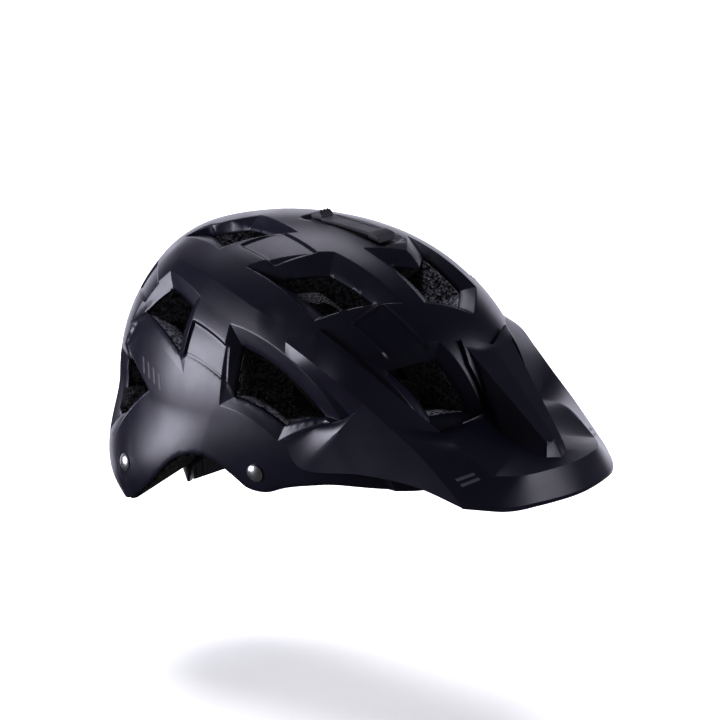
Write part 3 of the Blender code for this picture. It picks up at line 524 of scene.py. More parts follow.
def foam_material():
    """Black expanded polystyrene: packed beads of slightly different greys, with bright skins."""
    beads_per_metre = 620
    m = Nodes("eps_beads", (0.03, 0.03, 0.033), 0.6, 0.0, 0.5)
    bead = m.cells(beads_per_metre)
    grey = m.node("ShaderNodeRGBToBW")
    m.join(m.cells(beads_per_metre, "Color"), grey.inputs["Color"])
    fleck = m.noise(1900, 3, 0.7)
    lit = m.node("ShaderNodeMath", operation="MULTIPLY")
    m.join(m.between(grey.outputs["Val"], 0.3, 0.75, 0, 1), lit.inputs[0])
    m.join(m.between(fleck, 0.45, 0.62, 0.1, 1), lit.inputs[1])
    m.mix(lit.outputs[0], (0.006, 0.006, 0.0075), (0.3, 0.3, 0.33))
    m.rough(grey.outputs["Val"], 0.2, 0.8, 0.45, 0.75)
    m.bump(bead, 0.55, 0.0009)
    m.bump(fleck, 0.25, 0.0003)
    return m.material


def moulded(name, colour, roughness=0.42, grain=900, strength=0.18):
    """Injection-moulded plastic with spark-eroded grain."""
    m = Nodes(name, colour, roughness)
    m.bump(m.noise(grain, 3), strength, 0.0002)
    m.rough(m.noise(60, 3), 0.3, 0.7, roughness - 0.06, roughness + 0.08)
    m.mix(m.noise(30, 2), scaled(colour, 0.8), scaled(colour, 1.25))
    return m.material


def chrome_material():
    m = Nodes("polished_steel", (0.9, 0.9, 0.92), 0.26, 1.0)
    m.rough(m.noise(400, 4), 0.35, 0.65, 0.24, 0.34)
    m.bump(m.noise(700, 2), 0.03, 0.0001)
    return m.material


def webbing_material():
    """Woven polyester: ribs across the band and a fine twill, in the band's own coordinates."""
    m = Nodes("webbing_weave", (0.022, 0.022, 0.025), 0.85, 0.0, 0.3)
    uv = m.node("ShaderNodeUVMap").outputs["UV"]
    ribs = []
    for turn, scale in ((0.0, 260.0), (0.78, 420.0), (-0.78, 420.0)):
        spin = m.node("ShaderNodeMapping")
        m.set(spin, "Rotation", (0, 0, turn))
        wave = m.node("ShaderNodeTexWave", scale=scale, distortion=0.4)
        m.join(uv, spin.inputs["Vector"])
        m.join(spin.outputs["Vector"], wave.inputs["Vector"])
        ribs.append(wave.outputs["Fac"])
    m.mix(ribs[1], (0.012, 0.012, 0.014), (0.05, 0.05, 0.056))
    for rib, strength, height in zip(ribs, (0.5, 0.3, 0.3), (0.0004, 0.0002, 0.0002)):
        m.bump(rib, strength, height)
    m.set(m.shader, "Sheen Weight", 0.35)
    return m.material


def pad_material():
    """Brushed knit: small loops with a soft nap."""
    m = Nodes("brushed_knit", (0.03, 0.03, 0.036), 0.95, 0.0, 0.2)
    loops = m.cells(900)
    m.mix(m.between(loops, 0, 0.7, 0, 1), (0.055, 0.055, 0.064), (0.014, 0.014, 0.018))
    m.bump(loops, 0.6, 0.0004)
    m.bump(m.noise(220, 3), 0.25, 0.0006)
    m.set(m.shader, "Sheen Weight", 0.6)
    m.set(m.shader, "Sheen Roughness", 0.5)
    return m.material


# Each finish is a material and the slot of the part that it fills.
LACQUER = (0.0125, 0.012, 0.026)
PAINT = lacquer("shell_lacquer", LACQUER), "shell"
VISOR_PAINT = lacquer("visor_lacquer", LACQUER), "visor_plastic"
FOAM = foam_material(), "eps_foam"
PLASTIC = moulded("fit_nylon", (0.018, 0.018, 0.021), 0.36), "fit_plastic"
BUCKLE_PLASTIC = moulded("buckle_acetal", (0.02, 0.02, 0.023), 0.4, 700, 0.25), "buckle_plastic"
DIVIDER_PLASTIC = moulded("divider_nylon", (0.024, 0.024, 0.027), 0.45), "divider_plastic"
ANCHOR_PLASTIC = moulded("anchor_nylon", (0.016, 0.016, 0.018), 0.5), "anchor_plastic"
MOUNT_PLASTIC = moulded("mount_nylon", (0.05, 0.049, 0.058), 0.45, 1100, 0.12), "mount_plastic"
RUBBER = moulded("dial_rubber", (0.02, 0.02, 0.022), 0.6, 500, 0.3), "dial_rubber"
CHROME = chrome_material(), "rivet_steel"
WEBBING = webbing_material(), "webbing"
KNIT = pad_material(), "pad_fabric"
THREAD = moulded("bonded_thread", (0.06, 0.06, 0.066), 0.7, 1500, 0.3), "webbing"
PALE_INK = moulded("pale_ink", (0.1, 0.1, 0.115), 0.5, 1500, 0.08)


# ---- objects ----
def added(name, data):
    made = bpy.data.objects.new(name, data)
    bpy.context.scene.collection.objects.link(made)
    return made


def mesh_of(name, bm):
    bmesh.ops.recalc_face_normals(bm, faces=bm.faces)
    mesh = bpy.data.meshes.new(name)
    bm.to_mesh(mesh)
    bm.free()
    return mesh


def piece(name, bm, finish, body, node=None, smooth=35, bevel=None):
    """A visible object made from a BMesh; edges sharper than smooth, in degrees, stay sharp."""
    mesh = mesh_of(name, bm)
    made = added(name, mesh)
    material, slot = finish
    mesh.materials.append(material)
    mesh.shade_smooth()
    mesh.set_sharp_from_angle(angle=radians(smooth))
    if node:
        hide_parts(node)
    if body:
        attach(made, body)
    if bevel:
        rounded(made, *bevel)
    return made


def rounded(obj, width, segments=2, angle=35):
    """A bevel of the edges sharper than an angle, applied when the object is evaluated."""
    made = obj.modifiers.new("rounding", "BEVEL")
    made.width = width * MM
    made.segments = segments
    made.limit_method = "ANGLE"
    made.angle_limit = radians(angle)


def crisp_creases(obj, keep_sharp):
    """Normals weighted towards large faces, so that the panels look flat up to their creases."""
    made = obj.modifiers.new("crisp creases", "WEIGHTED_NORMAL")
    made.weight = 70
    made.keep_sharp = keep_sharp


def join_rings(bm, rings):
    """A closed skin over rings of as many vertices each."""
    for low, high in zip(rings, rings[1:]):
        for i, j in ring_pairs(len(low)):
            bm.faces.new((low[i], low[j], high[j], high[i]))
    bm.faces.new(rings[0][::-1])
    bm.faces.new(rings[-1])


def moulding(name, finish, body, node, bevel, place, layers, smooth=35, start=None):
    """A piece of extruded outlines, added to a start.

    A layer is (outlines, radius of their corners, low, high), and place turns (a, b, height)
    into mm.
    """
    bm = start or bmesh.new()
    for outlines, radius, low, high in layers:
        for outline in outlines:
            if radius:
                outline = rounded_outline(outline, radius)
            join_rings(bm, [[bm.verts.new(at(*place(a, b, h))) for a, b in outline]
                            for h in (low, high)])
    return piece(name, bm, finish, body, node, smooth, bevel)


def boxes(centres, half_a, half_b):
    """The corners of a rectangle about each centre."""
    return [[(a - half_a, b - half_b), (a + half_a, b - half_b),
             (a + half_a, b + half_b), (a - half_a, b + half_b)] for a, b in centres]


def rounded_outline(corners, radius, pieces=4):
    """A polygon with its corners cut by arcs."""
    corners = [np.array(c, float) for c in corners]
    out = []
    for a, b, c in zip([corners[-1]] + corners[:-1], corners, corners[1:] + corners[:1]):
        reach = min(radius, norm(a - b) * 0.45, norm(c - b) * 0.45)
        start, end = (b + (p - b) / norm(p - b) * reach for p in (a, c))
        for t in np.linspace(0, 1, pieces + 1):
            out.append((1 - t) ** 2 * start + 2 * t * (1 - t) * b + t ** 2 * end)
    return [tuple(p) for p in out]


def arc(a, b, radius, pieces):
    """A half circle from above a centre, round behind it, to below it."""
    turns = np.linspace(pi / 2, pi * 1.5, pieces + 1)
    return [(a + radius * cos(t), b + radius * sin(t)) for t in turns]


def lathe(profile, centre, axis, sides=48, wobble=None):
    """A closed turned shape from (radius, height) pairs in mm, about an axis through a centre."""
    bm = bmesh.new()
    turn = Vector(axis).to_track_quat("Z", "Y").to_matrix()
    rings = []
    for radius, height in profile:
        rings.append([])
        for a in (2 * pi * k / sides for k in range(sides)):
            r = radius * (wobble(a, height) if wobble else 1)
            point = Vector(centre) + turn @ Vector((r * cos(a), r * sin(a), height))
            rings[-1].append(bm.verts.new(at(*point)))
    join_rings(bm, rings)
    return bm


# ---- shell and foam ----
def dome_map(spacing, detail):
    """The right half of the shell on the map: rim, centre line, bevels, recesses and openings."""
    rim = rim_line(spacing)
    centre = divide([rim[-1], rim[0]], spacing, False)[1:-1]
    offsets = (0.0, EDGE_ROUND, -EDGE_ROUND) if detail else (0.0,)
    lines = []
    for opening, bevel, _ in VENTS.values():
        for by in offsets:
            lines.append(crease(bevel, by, spacing) if bevel[0][1] else beside(bevel, -by, spacing))
        for a, b in zip(opening, bevel):
            if a[1]:
                lines += [beside([a, b], by, spacing) for by in offsets]
    lines += [divide(line, spacing, False) for line in (SEAT, SEAT_FLOOR)]
    lines += [beside(SIDE_LINE, by, spacing) for by in offsets]
    if detail:
        for outline, _, wall in RECESSES:
            lines += [crease(outline, by, spacing)
                      for by in (-EDGE_ROUND, 0.0, wall, wall + EDGE_ROUND)]
        lines += [beside(catmull_rom(line, 2.0), by, spacing)
                  for line in (SHOULDER, LOBE_EDGE) for by in offsets]
    own = {} if detail else FOAM_OPENINGS
    holes = [divide(own.get(name, vent[0]), spacing, True) for name, vent in VENTS.items()]
    return triangulate(np.r_[rim, centre], lines, holes, spacing, True)


def crease(outline, by, spacing):
    """The line within a closed outline, moved inward by an angle."""
    ring = inset(outline, by) if by else outline
    return divide([*ring, ring[0]], spacing, False)


def beside(line, by, spacing):
    """A line moved to its left by an angle."""
    points = np.array(line, float)
    if by:
        along = unit(np.gradient(points, axis=0))
        points = points + np.c_[-along[:, 1], along[:, 0]] * by
        points[:, 1] = np.maximum(points[:, 1], 0)
    return divide(points, spacing, False)


def outer_shell():
    flat, faces = dome_map(SHELL_GRID, True)
    free = on_free_edge(flat, faces)
    level = depth(flat)
    outer = sunk(flat, SHELL_FORM, level + LIP_DROP * free)
    held = free | (np.abs(flat[:, 1]) < ON_CENTRE)
    outer = relaxed(outer, faces, held, factor=0.3, times=1)
    inner = sunk(flat, SHELL_FORM, level + SHELL_WALL)
    made = piece("shell_skin", layered(flat, faces, [outer, inner], True), PAINT, "helmet",
                 "outer_shell", 50)
    crisp_creases(made, True)


FOAM_BELOW = 0.9              # degrees by which the foam's rim reaches below the shell's
WALL_ROWS = (0.04, 0.2, 0.4, 0.6, 0.8, 0.95)
CHANNEL_END = (4, 8)          # degrees from the rim where the channels start, and their run-in
CHANNELS = [([(62, 0), (20, 0), (-30, 0), (-72, 0)], 8.0, 7.0),          # line, depth, half width
            ([(74, 24), (38, 30), (0, 25), (-28, 30), (-60, 40)], 7.0, 6.5),
            ([(60, 62), (30, 66), (-10, 62), (-30, 56)], 5.0, 6.0)]


def channel_depth(flat):
    """Air channels moulded along the inside of the foam."""
    total = np.zeros(len(flat))
    for line, deep, half in CHANNELS:
        d = distance(flat, catmull_rom(line, 5.0), False)
        total = np.maximum(total, deep * (1 - smoothstep((d - half * 0.45) / (half * 0.75))))
    return total


def eps_liner():
    flat, faces = dome_map(FOAM_GRID, False)
    down = np.hypot(*flat.T)[:, None]
    at_rim = distance(flat, rim_line(FOAM_GRID), False)[:, None] < ON_CENTRE
    lower = np.where(at_rim, flat * (down + FOAM_BELOW) / np.maximum(down, 1), flat)
    outer = sunk(lower, SHELL_FORM, depth(flat) + SHELL_WALL + GAP)
    from_rim = distance(flat, rim_line(3.0), False)
    from_rim = smoothstep((from_rim - CHANNEL_END[0]) / CHANNEL_END[1])
    inner = sunk(lower, HEAD_FORM, -channel_depth(flat) * from_rim)
    inner = relaxed(inner, faces, on_free_edge(flat, faces), factor=0.5, times=2)
    sheets = [outer] + [outer + (inner - outer) * share for share in WALL_ROWS] + [inner]
    return piece("foam_liner", layered(flat, faces, sheets, True), FOAM, "helmet", "eps_liner", 45)


# ---- visor: its right half as lines in space, with strips between them ----
VISOR_STANDOFF = 3.1
VISOR_WALL = 1.9
ARM_TOP = [(56, -87, 60), (72, -79, 66), (97, -75, 51), (121, -69, 33), (148, -51, 6),
           (167, -59, 2), (191, -56, -13.5)]
CREST = [(56, -90, 57), (78, -93, 49), (102, -96, 39.5), (119, -92, 28), (136, -88, 15),
         (158, -83.5, -2), (183, -80, -25)]
PRONG = [(57, -92, 50), (72, -92, 42), (92, -89, 28), (104, -86, 16)]
LOWER_EDGE = [(60, -98, -4), (74, -96, -21), (116, -91, -18), (153, -85.5, -20), (186, -80, -29)]
WELL_FRONT = [(191, -56, -13.5), (203, -42, -14), (208.5, -24, -14), (211, 0, -14)]
FRONT_EDGE = [(183, -80, -25), (203, -60, -30), (213.5, -36, -30), (219, 0, -30)]
FRONT_LIP = [(186, -80, -29), (203.5, -59.5, -33), (212.5, -35.5, -33), (217.5, 0, -33)]
SPINE_FOOT = [(148, -24, 44), (157, -14, 14), (170, -19, 3), (185, -17, -4), (200, -11, -10),
              (202, -5.5, -10.8), (204, 0, -11.6)]
SPINE_EDGE = [(142, -24, 59), (154, -20.6, 46), (170, -16, 28.5), (185, -11.7, 12.2), (198, -8, -2)]
SPINE_TOP = [(150, 0, 52), (160, 0, 41), (174, 0, 25.3), (187, 0, 10.8), (198.5, 0, -2)]
SPINE_END = [(198, -8, -2), (198.2, -4, -2), (198.5, 0, -2)]
WELL_SAG, SPINE_SAG = 0.4, 0.8
VISOR_WELD, VISOR_MIDDLE = 8e-5, 2e-4       # metres


def curve(knots, breaks=()):
    """A smooth line through knots with corners at the given knots."""
    cuts = [0, *breaks, len(knots) - 1]
    line = []
    for low, high in zip(cuts, cuts[1:]):
        line += list(catmull_rom(knots[low:high + 1], pieces=VISOR_STRETCH)[:-1])
    return np.array(line + [knots[-1]])


def pushed_out(points, standoff):
    """Points moved outward where they lie nearer to the shell's form than a standoff."""
    length = norm(points, axis=1)
    reach = form_radius(points / length[:, None], SHELL_FORM) + standoff
    return points * (np.maximum(length, reach) / length)[:, None]


def strip(bm, side_a, side_b, rows, sag=0.0):
    """Quads between two lines of as many points; sag hollows the sheet between them."""
    grid = []
    for t in np.arange(rows + 1) / rows:
        line = side_a + (side_b - side_a) * t
        line = line - unit(line) * sag * 4 * t * (1 - t)
        grid.append([bm.verts.new(at(*p)) for p in pushed_out(line, VISOR_STANDOFF)])
    for low, high in zip(grid, grid[1:]):
        for i in range(len(low) - 1):
            bm.faces.new((low[i], low[i + 1], high[i + 1], high[i]))


def visor():
    rows, stretch = VISOR_ROWS, VISOR_STRETCH
    bm = bmesh.new()
    arm_top, foot = curve(ARM_TOP, (1, 4)), curve(SPINE_FOOT, (1, 4))
    crest, prong, lower_edge = map(curve, (CREST, PRONG, LOWER_EDGE))
    well_front, front_edge, front_lip = map(curve, (WELL_FRONT, FRONT_EDGE, FRONT_LIP))
    edge, top, end = map(curve, (SPINE_EDGE, SPINE_TOP, SPINE_END))
    cheek_top = np.r_[curve([PRONG[-1], CREST[3]]), crest[3 * stretch + 1:]]
    strip(bm, arm_top, crest, rows)
    strip(bm, crest[:3 * stretch + 1], prong, rows // 2)
    strip(bm, cheek_top, lower_edge, rows)
    strip(bm, well_front, front_edge, rows)
    strip(bm, front_edge, front_lip, 3)
    strip(bm, foot[stretch:], np.r_[arm_top[4 * stretch:], well_front[1:]], rows + 4, WELL_SAG)
    strip(bm, edge, foot[:4 * stretch + 1], rows, SPINE_SAG)
    strip(bm, top, edge, rows // 2)
    strip(bm, end, foot[4 * stretch:], rows // 3)
    bmesh.ops.remove_doubles(bm, verts=bm.verts, dist=VISOR_WELD)
    for v in bm.verts:
        if abs(v.co.y) < VISOR_MIDDLE:
            v.co.y = 0
    made = piece("visor_skin", bm, VISOR_PAINT, "visor", "visor", 60)
    outward = sum(p.normal.dot(p.center - at(0, 0, 0)) for p in made.data.polygons)
    if outward < 0:
        made.data.flip_normals()
    mirror = made.modifiers.new("both halves", "MIRROR")
    mirror.use_axis = (False, True, False)
    mirror.use_clip = True
    mirror.merge_threshold = 0.0001
    wall = made.modifiers.new("wall", "SOLIDIFY")
    wall.thickness = VISOR_WALL * MM
    wall.offset = -1
    rounded(made, 0.6, 3, 24)
    crisp_creases(made, False)
    return made


# ---- bands: straps, wings and arms ----
SIDES = (("right", 1), ("left", -1))        # with the factor for Y
BAND_STEP = 1.6
STRAP_WIDTH, STRAP_THICK = 15, 1.4
STRAP_PATHS = {               # knots of (angle round, angle down, depth inside the head's form)
    "strap_front": [(70, 100, 3.9), (80, 96, 1.7), (92, 92, 1.7), (101.5, 89, 1.7)],
    "strap_rear": [(129.5, 105, 3.9), (128.5, 101, 1.8), (126.5, 97.5, 1.8), (124.2, 94, 1.8)],
    "chin_strap": [(122, 82, 1.8), (136, 80, 1.8), (150, 79, 2.2), (160, 79, 4.0)],
}
LEFT_CHIN_END = (167, 79, 4.0)
STITCH_RUN = 7                # points of the band along which its three rows of thread lie
STITCH_STEP, STITCH_LIFT = 1.5, 0.78
STITCH_RADIUS, STITCH_SHAPE = 0.45, (1.5, 0.55, 0.5, 1)


def head_frame(path, sign):
    """Points and outward normals along knots, on the side that sign gives."""
    fine = catmull_rom(path, BAND_STEP)
    uv = np.array([polar_to_map(a, d) for a, d, _ in fine])
    points, normals = sunk(uv, HEAD_FORM, fine[:, 2]), surface_normal(uv, HEAD_FORM)
    return points * (1, sign, 1), normals * (1, sign, 1)


def band(points, normals, width, thick, corner=0.5, taper=None):
    """A flat band with rounded edges along a line, with its length and width as UVs in metres."""
    side = unit(np.cross(unit(np.gradient(points, axis=0)), normals))
    lengths = np.r_[0, np.cumsum(norm(np.diff(points, axis=0), axis=1))]
    section = rounded_outline(boxes([(0, 0)], 0.5 * width, 0.5 * thick)[0], thick * corner, 3)
    bm = bmesh.new()
    layer = bm.loops.layers.uv.new("UVMap")
    rings = []
    for i, (p, n, a) in enumerate(zip(points, normals, side)):
        scale = taper(i / (len(points) - 1)) if taper else 1
        rings.append([bm.verts.new(at(*(p + a * s * scale + n * t))) for s, t in section])
    join_rings(bm, rings)
    place = {v: (length * MM, s * MM) for ring, length in zip(rings, lengths)
             for v, (s, _) in zip(ring, section)}
    for face in bm.faces:
        if len(face.verts) == 4:
            for loop in face.loops:
                loop[layer].uv = place[loop.vert]
    return bm


def stitches(points, normals, start):
    """Three rows of bar-tack thread across a band, as one mesh of small raised stitches."""
    bm = bmesh.new()
    tangents = unit(np.gradient(points, axis=0))
    for row in (0.15, 0.5, 0.85):
        k = min(len(points) - 1, int(start + STITCH_RUN * row))
        n, t = Vector(normals[k]), Vector(tangents[k])
        a = t.cross(n).normalized()
        turn = Matrix((a, t, n)).transposed().to_4x4() @ Matrix.Diagonal(STITCH_SHAPE)
        for s in np.arange(-STRAP_WIDTH * 0.4, STRAP_WIDTH * 0.4, STITCH_STEP):
            place = Matrix.Translation(at(*(Vector(points[k]) + a * s - n * STITCH_LIFT)))
            bmesh.ops.create_icosphere(bm, subdivisions=1, radius=STITCH_RADIUS * MM,
                                       matrix=place @ turn)
    return bm


def straps():
    for side, sign in SIDES:
        for name, path in STRAP_PATHS.items():
            chin = name == "chin_strap"
            loose = chin and side == "left"
            if loose:
                path = path[:-1] + [LEFT_CHIN_END]
            points, normals = head_frame(path, sign)
            body = None if loose else "helmet"
            web = piece(f"{name}_web_{side}", band(points, normals, STRAP_WIDTH, STRAP_THICK, 0.45),
                        WEBBING, body, f"{name}_{side}", 50)
            start = 2 if chin else len(points) - 9
            thread = piece(f"{name}_thread_{side}", stitches(points, normals, start), THREAD, body,
                           smooth=38)
            if loose:
                for part in (web, thread):
                    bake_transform(part)


# ---- strap dividers ----
DIVIDER = (112, 88, 3.4)
LEVER_HINGE = (-9, 0, -3.2)


def in_frame(origin, turn, upright=False):
    """Places (a, b, height) in a turned frame; an upright outline has its height along Y."""
    return lambda a, b, h: origin + turn @ Vector((a, h, b) if upright else (a, b, h))


def divider_frame(sign):
    """The divider's place, with X forward, Y down the head and Z outward."""
    uv = np.array([polar_to_map(*DIVIDER[:2])])
    point = Vector(sunk(uv, HEAD_FORM, DIVIDER[2])[0] * (1, sign, 1))
    z_axis = Vector(surface_normal(uv, HEAD_FORM)[0] * (1, sign, 1))
    x_axis = (Vector((1, 0, 0)) - z_axis * z_axis.x).normalized()
    return point, Matrix((x_axis, z_axis.cross(x_axis), z_axis)).transposed()


def dividers():
    """The strap dividers: a slotted frame with a ribbed cam lever on its inner face."""
    lever = arc(0, 0, 1.2, 8) + [(15, -1.2), (19, -0.9), (20, -0.2), (19.6, 0.6), (15, 1.2)]
    ribs = [[(x - 0.5, -1.1), (x + 0.5, -1.1), (x + 0.25, -1.6), (x - 0.25, -1.6)]
            for x in (7.5, 9.5, 11.5, 13.5)]
    for side, sign in SIDES:
        centre, turn = divider_frame(sign)
        moulding(f"divider_frame_{side}", DIVIDER_PLASTIC, "helmet", f"strap_divider_{side}",
                 (0.35, 2, 50), in_frame(centre, turn),
                 [(boxes([(0, 0)], 12, 11), 5, -1.3, 0.5),
                  (boxes([(-8, 0), (8, 0)], 2.2, 9), 1.5, 0.2, 1.25),
                  (boxes([(0, -9.4), (0, 9.4)], 10, 1), 0.9, 0.2, 1.25)])
        cam = f"divider_lever_{side}"
        moulding(f"divider_cam_{side}", DIVIDER_PLASTIC, cam, cam, (0.25, 2, 50),
                 in_frame(centre + turn @ Vector(LEVER_HINGE), turn, True),
                 [([lever], 0, -7.4, 7.4), (ribs, 0, -5.6, 5.6)])


# ---- buckle ----
BUCKLE_X, BUCKLE_Z = -84.0, 12.0
SOCKET = [(-29, -9.5), (-27, -11.3), (-14, -11.5), (-11, -8.6), (-5, -8.6), (-1.2, -11), (-1.2, 11),
          (-5, 8.6), (-11, 8.6), (-14, 11.5), (-27, 11.3), (-29, 9.5)]
SOCKET_RIDGE = [(-16, -3.2), (-4, -2), (-4, 2), (-16, 3.2)]
PLUG = [(5.5, -10), (15.5, -10), (18, -8), (18, 8), (15.5, 10), (5.5, 10)]
PLUG_ARM = [(-0.5, 8.2), (0.5, 9.9), (6.5, 9.9), (6.5, 6.6), (2, 6.2), (-0.5, 6.4)]
PLUG_GUIDE = [(-0.5, -2), (6.5, -2.6), (6.5, 2.6), (-0.5, 2)]


def on_buckle(a, b, h):
    return BUCKLE_X - h, a, BUCKLE_Z + b


def buckle():
    """A side-release buckle: a hollow-sided socket, and a plug with two arms and strap bars."""
    arms = [[(a, b * sign) for a, b in PLUG_ARM][::sign] for sign in (-1, 1)]
    moulding("buckle_socket", BUCKLE_PLASTIC, "helmet", "buckle_female", (0.9, 3, 50), on_buckle,
             [([SOCKET], 2.0, -3.5, 3.5),
              (boxes([(-24.5, 0), (-20.5, 0)], 1, 8), 0.9, 3.3, 3.9),
              ([SOCKET_RIDGE], 1.4, 3.3, 3.75)])
    moulding("buckle_plug", BUCKLE_PLASTIC, "buckle_male", "buckle_male", (0.7, 3, 50), on_buckle,
             [([PLUG], 1.6, -3.3, 3.3),
              (arms, 0.8, -2.4, 2.4),
              ([PLUG_GUIDE], 0.6, -1.6, 1.6),
              (boxes([(9.5, 0), (13.5, 0)], 0.9, 7.5), 0.8, 3.1, 3.6)])


# ---- rivets and anchors ----
RIVETS = {"front": (35, -97, -31), "rear": (-70, -86.4, -39.8)}
RIVET_DOME = [(5.2, -0.5), (5.8, -0.35), (5.85, 0.15), (5.5, 0.55), (4.9, 0.95), (3.9, 1.5),
              (2.6, 1.9), (1.2, 2.1), (0.2, 2.15)]
ANCHOR_WASHER = [(7.4, -0.9), (8.2, -0.8), (8.5, -0.4), (8.5, 0.4), (8.2, 0.8), (4.6, 0.9),
                 (4.2, 0.5), (0.4, 0.5)]
RIVET_STANDS, ANCHOR_DEPTH = 0.4, 1.6


def rivets():
    for place, xyz in RIVETS.items():
        uv = direction_to_map([xyz])
        for side, sign in SIDES:
            head = sunk(uv, SHELL_FORM, base_depth(uv) - RIVET_STANDS)[0] * (1, sign, 1)
            normal = surface_normal(uv, SHELL_FORM)[0] * (1, sign, 1)
            piece(f"rivet_dome_{place}_{side}", lathe(RIVET_DOME, head, normal), CHROME, "helmet",
                  f"rivet_{place}_{side}", 40)
            seat = sunk(uv, HEAD_FORM, ANCHOR_DEPTH)[0] * (1, sign, 1)
            inward = surface_normal(uv, HEAD_FORM)[0] * (-1, -sign, -1)
            piece(f"anchor_washer_{place}_{side}", lathe(ANCHOR_WASHER, seat, inward),
                  ANCHOR_PLASTIC, "helmet", f"strap_anchor_{place}_{side}", 40)


# ---- accessory mount, drawn from the side with its width as the height of the extrusions ----
MOUNT_REAR, MOUNT_FRONT = (15.0, 118.0), (63.0, 112.4)      # ends of its top line
MOUNT_HALF, COVER_HALF, LATCH_HALF = 8.6, 7.8, 5.9
LATCH_X, LATCH_Z, LATCH_RADIUS = 10.2, 117.7, 1.5
CROWN_RADIUS, SEAT_V = 116, 4.2         # where the mount's underside is measured on the seat
SEAT_LIFT = 0.45                     # by which it stands above the seat's floor


def on_top_line(x, lift, over=0.0):
    """A point above the mount's top line, by lift from the line's height at x + over."""
    share = (x + over - MOUNT_REAR[0]) / (MOUNT_FRONT[0] - MOUNT_REAR[0])
    return x, MOUNT_REAR[1] + (MOUNT_FRONT[1] - MOUNT_REAR[1]) * share + lift


def on_crown(x):
    """A point on the underside of the mount, just above the floor of the shell's seat."""
    uv = np.array([[degrees(atan2(x, CROWN_RADIUS)), SEAT_V]])
    return x, sunk(uv, SHELL_FORM, SEAT_DEPTH - SEAT_LIFT)[0][2]


def across(a, b, h):
    return a, h, b


def accessory_mount():
    """A rail, a cover plate with side ridges clipped on it, a front block and a rear latch."""
    xs = np.linspace(MOUNT_REAR[0] - 5, MOUNT_FRONT[0] - 6, 9)
    rail = [on_crown(x) for x in xs] + [on_top_line(x, -2.6) for x in (xs[-1], xs[0])]
    rear, front = MOUNT_FRONT[0] - 5.6, MOUNT_FRONT[0] + 3.2
    block = [on_crown(x) for x in np.linspace(rear, front, 4)]
    block += [on_top_line(front + 0.2, -0.9, -0.2), on_top_line(front - 1.6, 0.3, 1.6),
              on_top_line(rear + 0.8, 0.7, -0.8), on_top_line(rear, 0.2)]
    low, high = MOUNT_REAR[0] + 3.5, MOUNT_FRONT[0] - 6
    plate = [(low, -2.2), (high, -2.2), (high, 0), (low, 0)]
    ridge = [(low + 1.5, -0.2), (high - 1.5, -0.2), (high - 2, 0.28), (low + 2, 0.28)]
    plate, ridge = ([on_top_line(*p) for p in outline] for outline in (plate, ridge))
    latch = arc(LATCH_X, LATCH_Z, LATCH_RADIUS, 10) + [on_top_line(*p) for p in (
        (17.9, -2.1, 0.1), (17.9, 1.2, 0.1), (15.5, 3.2, -0.5), (12.5, 2.4, -0.5))]
    for name, body, node, bevel, layers in (
            ("mount_rail", "helmet", "mount_base", (0.3, 2),
             [([rail], 0, -MOUNT_HALF, MOUNT_HALF)]),
            ("mount_front_block", "helmet", "mount_stop", (0.45, 3),
             [([block], 0, -MOUNT_HALF, MOUNT_HALF)]),
            ("mount_cover_plate", "mount_cover", "mount_cover", (0.4, 3),
             [([plate], 0, -COVER_HALF, COVER_HALF)]
             + [([ridge], 0, y - 0.5, y + 0.5) for y in (-6.9, 6.9)]),
            ("mount_latch_lever", "mount_latch", "mount_latch", (0.35, 2),
             [([latch], 0, -LATCH_HALF, LATCH_HALF)])):
        start = grips() if name == "mount_latch_lever" else None
        moulding(name, MOUNT_PLASTIC, body, node, bevel, across, layers, 30, start)


def grips():
    """Three small round grips for the latch."""
    bm = bmesh.new()
    x, z = on_top_line(15.2, 3.0)
    for y in (-3.2, 0, 3.2):
        bmesh.ops.create_uvsphere(bm, u_segments=12, v_segments=8, radius=1.1 * MM,
                                  matrix=Matrix.Translation(at(x, y, z)))
    return bm


# ---- fit system ----
DIAL_CENTRE = (-79.2, 0.0, -60.5)
DIAL_SETBACK = 4.1
DIAL_PROFILE = [(4, -7.3), (8.0, -7.4), (8.6, -6.9), (9.2, -7.2), (10.6, -6.7), (11.2, -5.8),
                (11.4, -4.5), (11.4, -2), (11.2, -0.8), (10.4, -0.1), (4, 0)]
FLUTES, FLUTE_DEPTH, FLUTE_REACH = 22, 0.055, (-6.8, -0.6)
CRADLE = [(-30, -10), (30, -10), (34, -6), (34, 6), (30, 10), (-30, 10), (-34, 6), (-34, -6)]
HEAD_BANDS = {                # (knots as in STRAP_PATHS, width, thickness)
    "cradle_wing": ([(154, 126.5, 4.4), (148, 126, 2.4), (140, 124, 2.2), (131, 120, 2.2)],
                    15, 2.2),
    "temple_arm": ([(128, 119.8, 2.2), (117, 114.5, 2.4), (104, 107.5, 3.4), (92, 102, 5.4),
                    (80, 99.5, 6.2), (70, 97, 6.6), (60, 95, 6.6)], 11, 1.6),
}


def on_cradle(a, b, h):
    x, _, z = DIAL_CENTRE
    return x + h, a, z + b


def fluted(a, height):
    """The share of the dial's radius left by its flutes."""
    deep = FLUTE_DEPTH if FLUTE_REACH[0] < height < FLUTE_REACH[1] else 0.0
    return 1 - deep * (0.5 + 0.5 * cos(FLUTES * a)) ** 2


def band_end(t):
    return 1 - 0.22 * abs(2 * t - 1) ** 6


